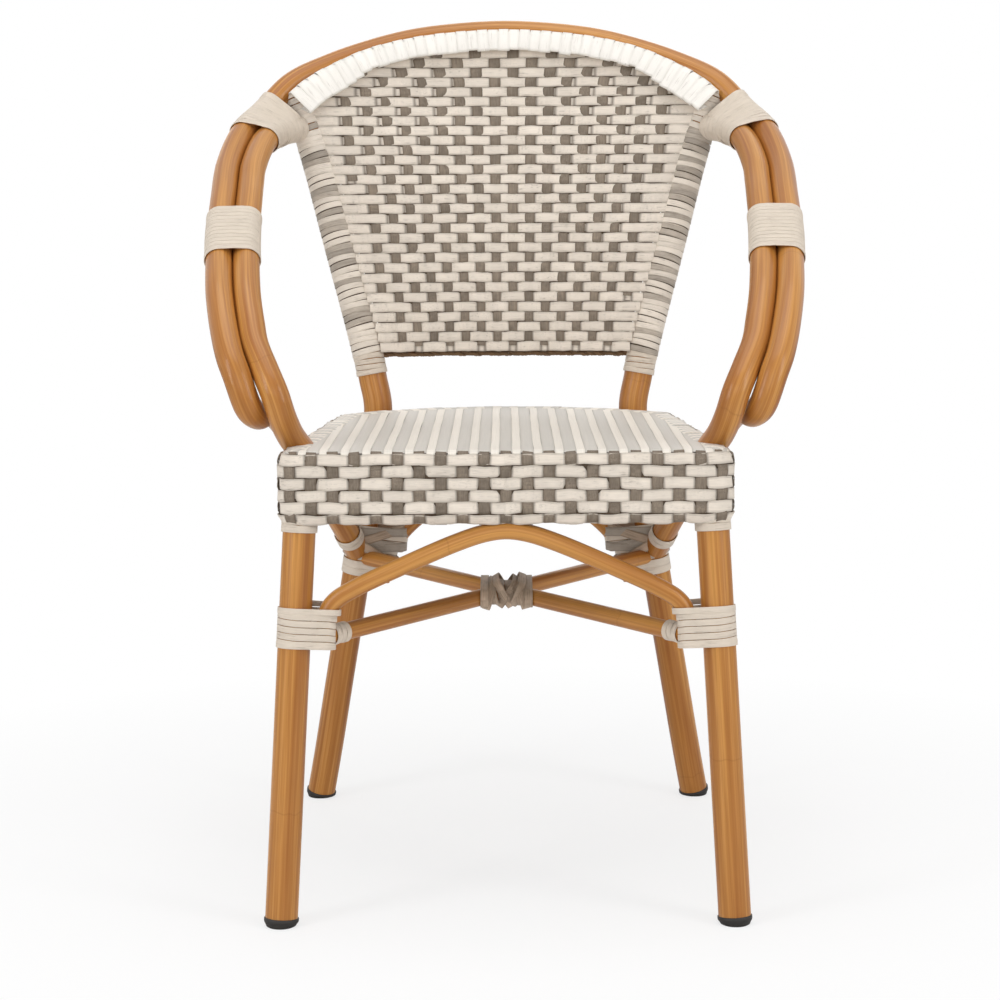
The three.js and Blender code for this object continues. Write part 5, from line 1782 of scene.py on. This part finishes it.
class CHAIR_OT_stage(ChairOperator, bpy.types.Operator):
    """Pale floor, soft studio light and the camera"""
    bl_idname = "chair.stage"
    bl_label = "Stage"

    # Name, place, what it points at, width and height, and power of each lamp
    LAMPS = (
        ("key_left", (-1.9, -1.6, 1.3), (0.05, 0, 0.45), (0.7, 1.8), 20),
        ("key_right", (1.9, -1.5, 1.3), (-0.05, 0, 0.45), (0.7, 1.8), 18.5),
        ("overhead", (0, -0.3, 3.0), (0, 0, 0.4), (2.2, 2.2), 32),
        ("front_fill", (0, -4.2, 1.7), (0, 0, 0.45), (2.6, 1.6), 19),
        ("back_fill", (0, 2.6, 1.6), (0, 0, 0.5), (2.4, 1.6), 12),
    )
    CAMERA_PLACE = (0.0, -2.47412, 0.7024)
    CAMERA_DIP = 7.679
    CAMERA_ROLL = -0.3
    FLOOR_REACH = 9.0

    def build(self, scene):
        scene.camera = self.camera()
        self.floor()
        scene.world = self.world()
        scene.view_settings.view_transform = "Standard"
        for name, place, target, size, power in self.LAMPS:
            data = bpy.data.lights.new(name, "AREA")
            data.shape = "RECTANGLE"
            data.size, data.size_y = size
            data.energy = power
            lamp = put(name, data)
            lamp.location = place
            away = Vector(place) - Vector(target)
            lamp.rotation_euler = away.to_track_quat("Z", "Y").to_euler()

    def camera(self):
        data = bpy.data.cameras.new("photo_camera")
        data.sensor_width = 36
        data.lens = 86.518
        data.shift_x = -0.006
        data.clip_end = 50
        camera = put("photo_camera", data)
        tilt = Matrix.Rotation(math.radians(90 - self.CAMERA_DIP), 4, "X")
        roll = Matrix.Rotation(math.radians(self.CAMERA_ROLL), 4, "Z")
        camera.matrix_world = Matrix.Translation(self.CAMERA_PLACE) @ tilt @ roll
        return camera

    def floor(self):
        """A pale floor that fades to white away from the chair."""
        mesh = bpy.data.meshes.new("floor")
        corners = ((-1, -1), (1, -1), (1, 1), (-1, 1))
        reach = self.FLOOR_REACH
        mesh.from_pydata([(x * reach, y * reach, 0) for x, y in corners], [], [(0, 1, 2, 3)])
        paint = Paint("floor_pale")
        path = paint.add("ShaderNodeLightPath", {}, {}, "Is Camera Ray")
        away = paint.add("ShaderNodeVectorMath", {"operation": "LENGTH"}, {0: paint.place()},
                         "Value")
        fade = paint.ramp(away, (0.34, 0.72), (0.95, 1.0))
        shader = paint.add("ShaderNodeBsdfDiffuse", {}, {"Color": (0.92, 0.92, 0.92, 1)}, "BSDF")
        glow = paint.add("ShaderNodeEmission", {}, {"Color": (1, 1, 1, 1), "Strength": 1.0})
        mixed = paint.add("ShaderNodeMixShader", {}, {0: path * fade, 1: shader, 2: glow})
        paint.add("ShaderNodeOutputMaterial", {}, {"Surface": mixed}, None)
        mesh.materials.append(paint.material)
        return put("floor", mesh)

    @staticmethod
    def world():
        """White for the camera and in reflections, a softer level on the chair."""
        world = bpy.data.worlds.new("studio")
        world.use_nodes = True
        nodes = Nodes(world.node_tree)
        world.node_tree.nodes.clear()
        path = nodes.add("ShaderNodeLightPath", {}, {}, None)
        seen = Wire(nodes, path.outputs["Is Camera Ray"])
        for name in ("Is Glossy Ray", "Is Transmission Ray"):
            seen = seen.maths("MAXIMUM", Wire(nodes, path.outputs[name]))
        shader = nodes.add("ShaderNodeBackground", {}, {
            "Color": (1, 1, 1, 1), "Strength": seen * 0.62 + 0.38,
        })
        nodes.add("ShaderNodeOutputWorld", {}, {"Surface": shader}, None)
        return world


STEPS = (
    CHAIR_OT_stage, CHAIR_OT_tubes, CHAIR_OT_inner_rails, CHAIR_OT_foot_caps, CHAIR_OT_bindings,
    CHAIR_OT_knot, CHAIR_OT_back_weave, CHAIR_OT_side_wraps, CHAIR_OT_top_border, CHAIR_OT_apron,
    CHAIR_OT_deck,
)
GROUPS = {
    "chair_tubes": ChairTubeSizes, "chair_strip": ChairStripSizes,
    "chair_weave": ChairWeaveSizes, "chair_colours": ChairColours,
}


class CHAIR_PT_panel(bpy.types.Panel):
    """Sizes, colours and the steps that build the chair"""
    bl_idname = "CHAIR_PT_panel"
    bl_label = "Armchair"
    bl_space_type = "VIEW_3D"
    bl_region_type = "UI"
    bl_category = "Armchair"

    def draw(self, context):
        for name, group in GROUPS.items():
            box = self.layout.box()
            box.label(text=group.__doc__)
            for field in group.__annotations__:
                box.prop(getattr(context.scene, name), field)
        for step in STEPS:
            self.layout.operator(step.bl_idname)


CLASSES = (*GROUPS.values(), *STEPS, CHAIR_PT_panel)


def register():
    for kind in CLASSES:
        bpy.utils.register_class(kind)
    for name, group in GROUPS.items():
        setattr(bpy.types.Scene, name, PointerProperty(type=group))


def unregister():
    for name in GROUPS:
        delattr(bpy.types.Scene, name)
    for kind in reversed(CLASSES):
        bpy.utils.unregister_class(kind)


def main():
    register()
    for step in STEPS:
        family, name = step.bl_idname.split(".")
        getattr(getattr(bpy.ops, family), name)()


if __name__ == "__main__":
    main()
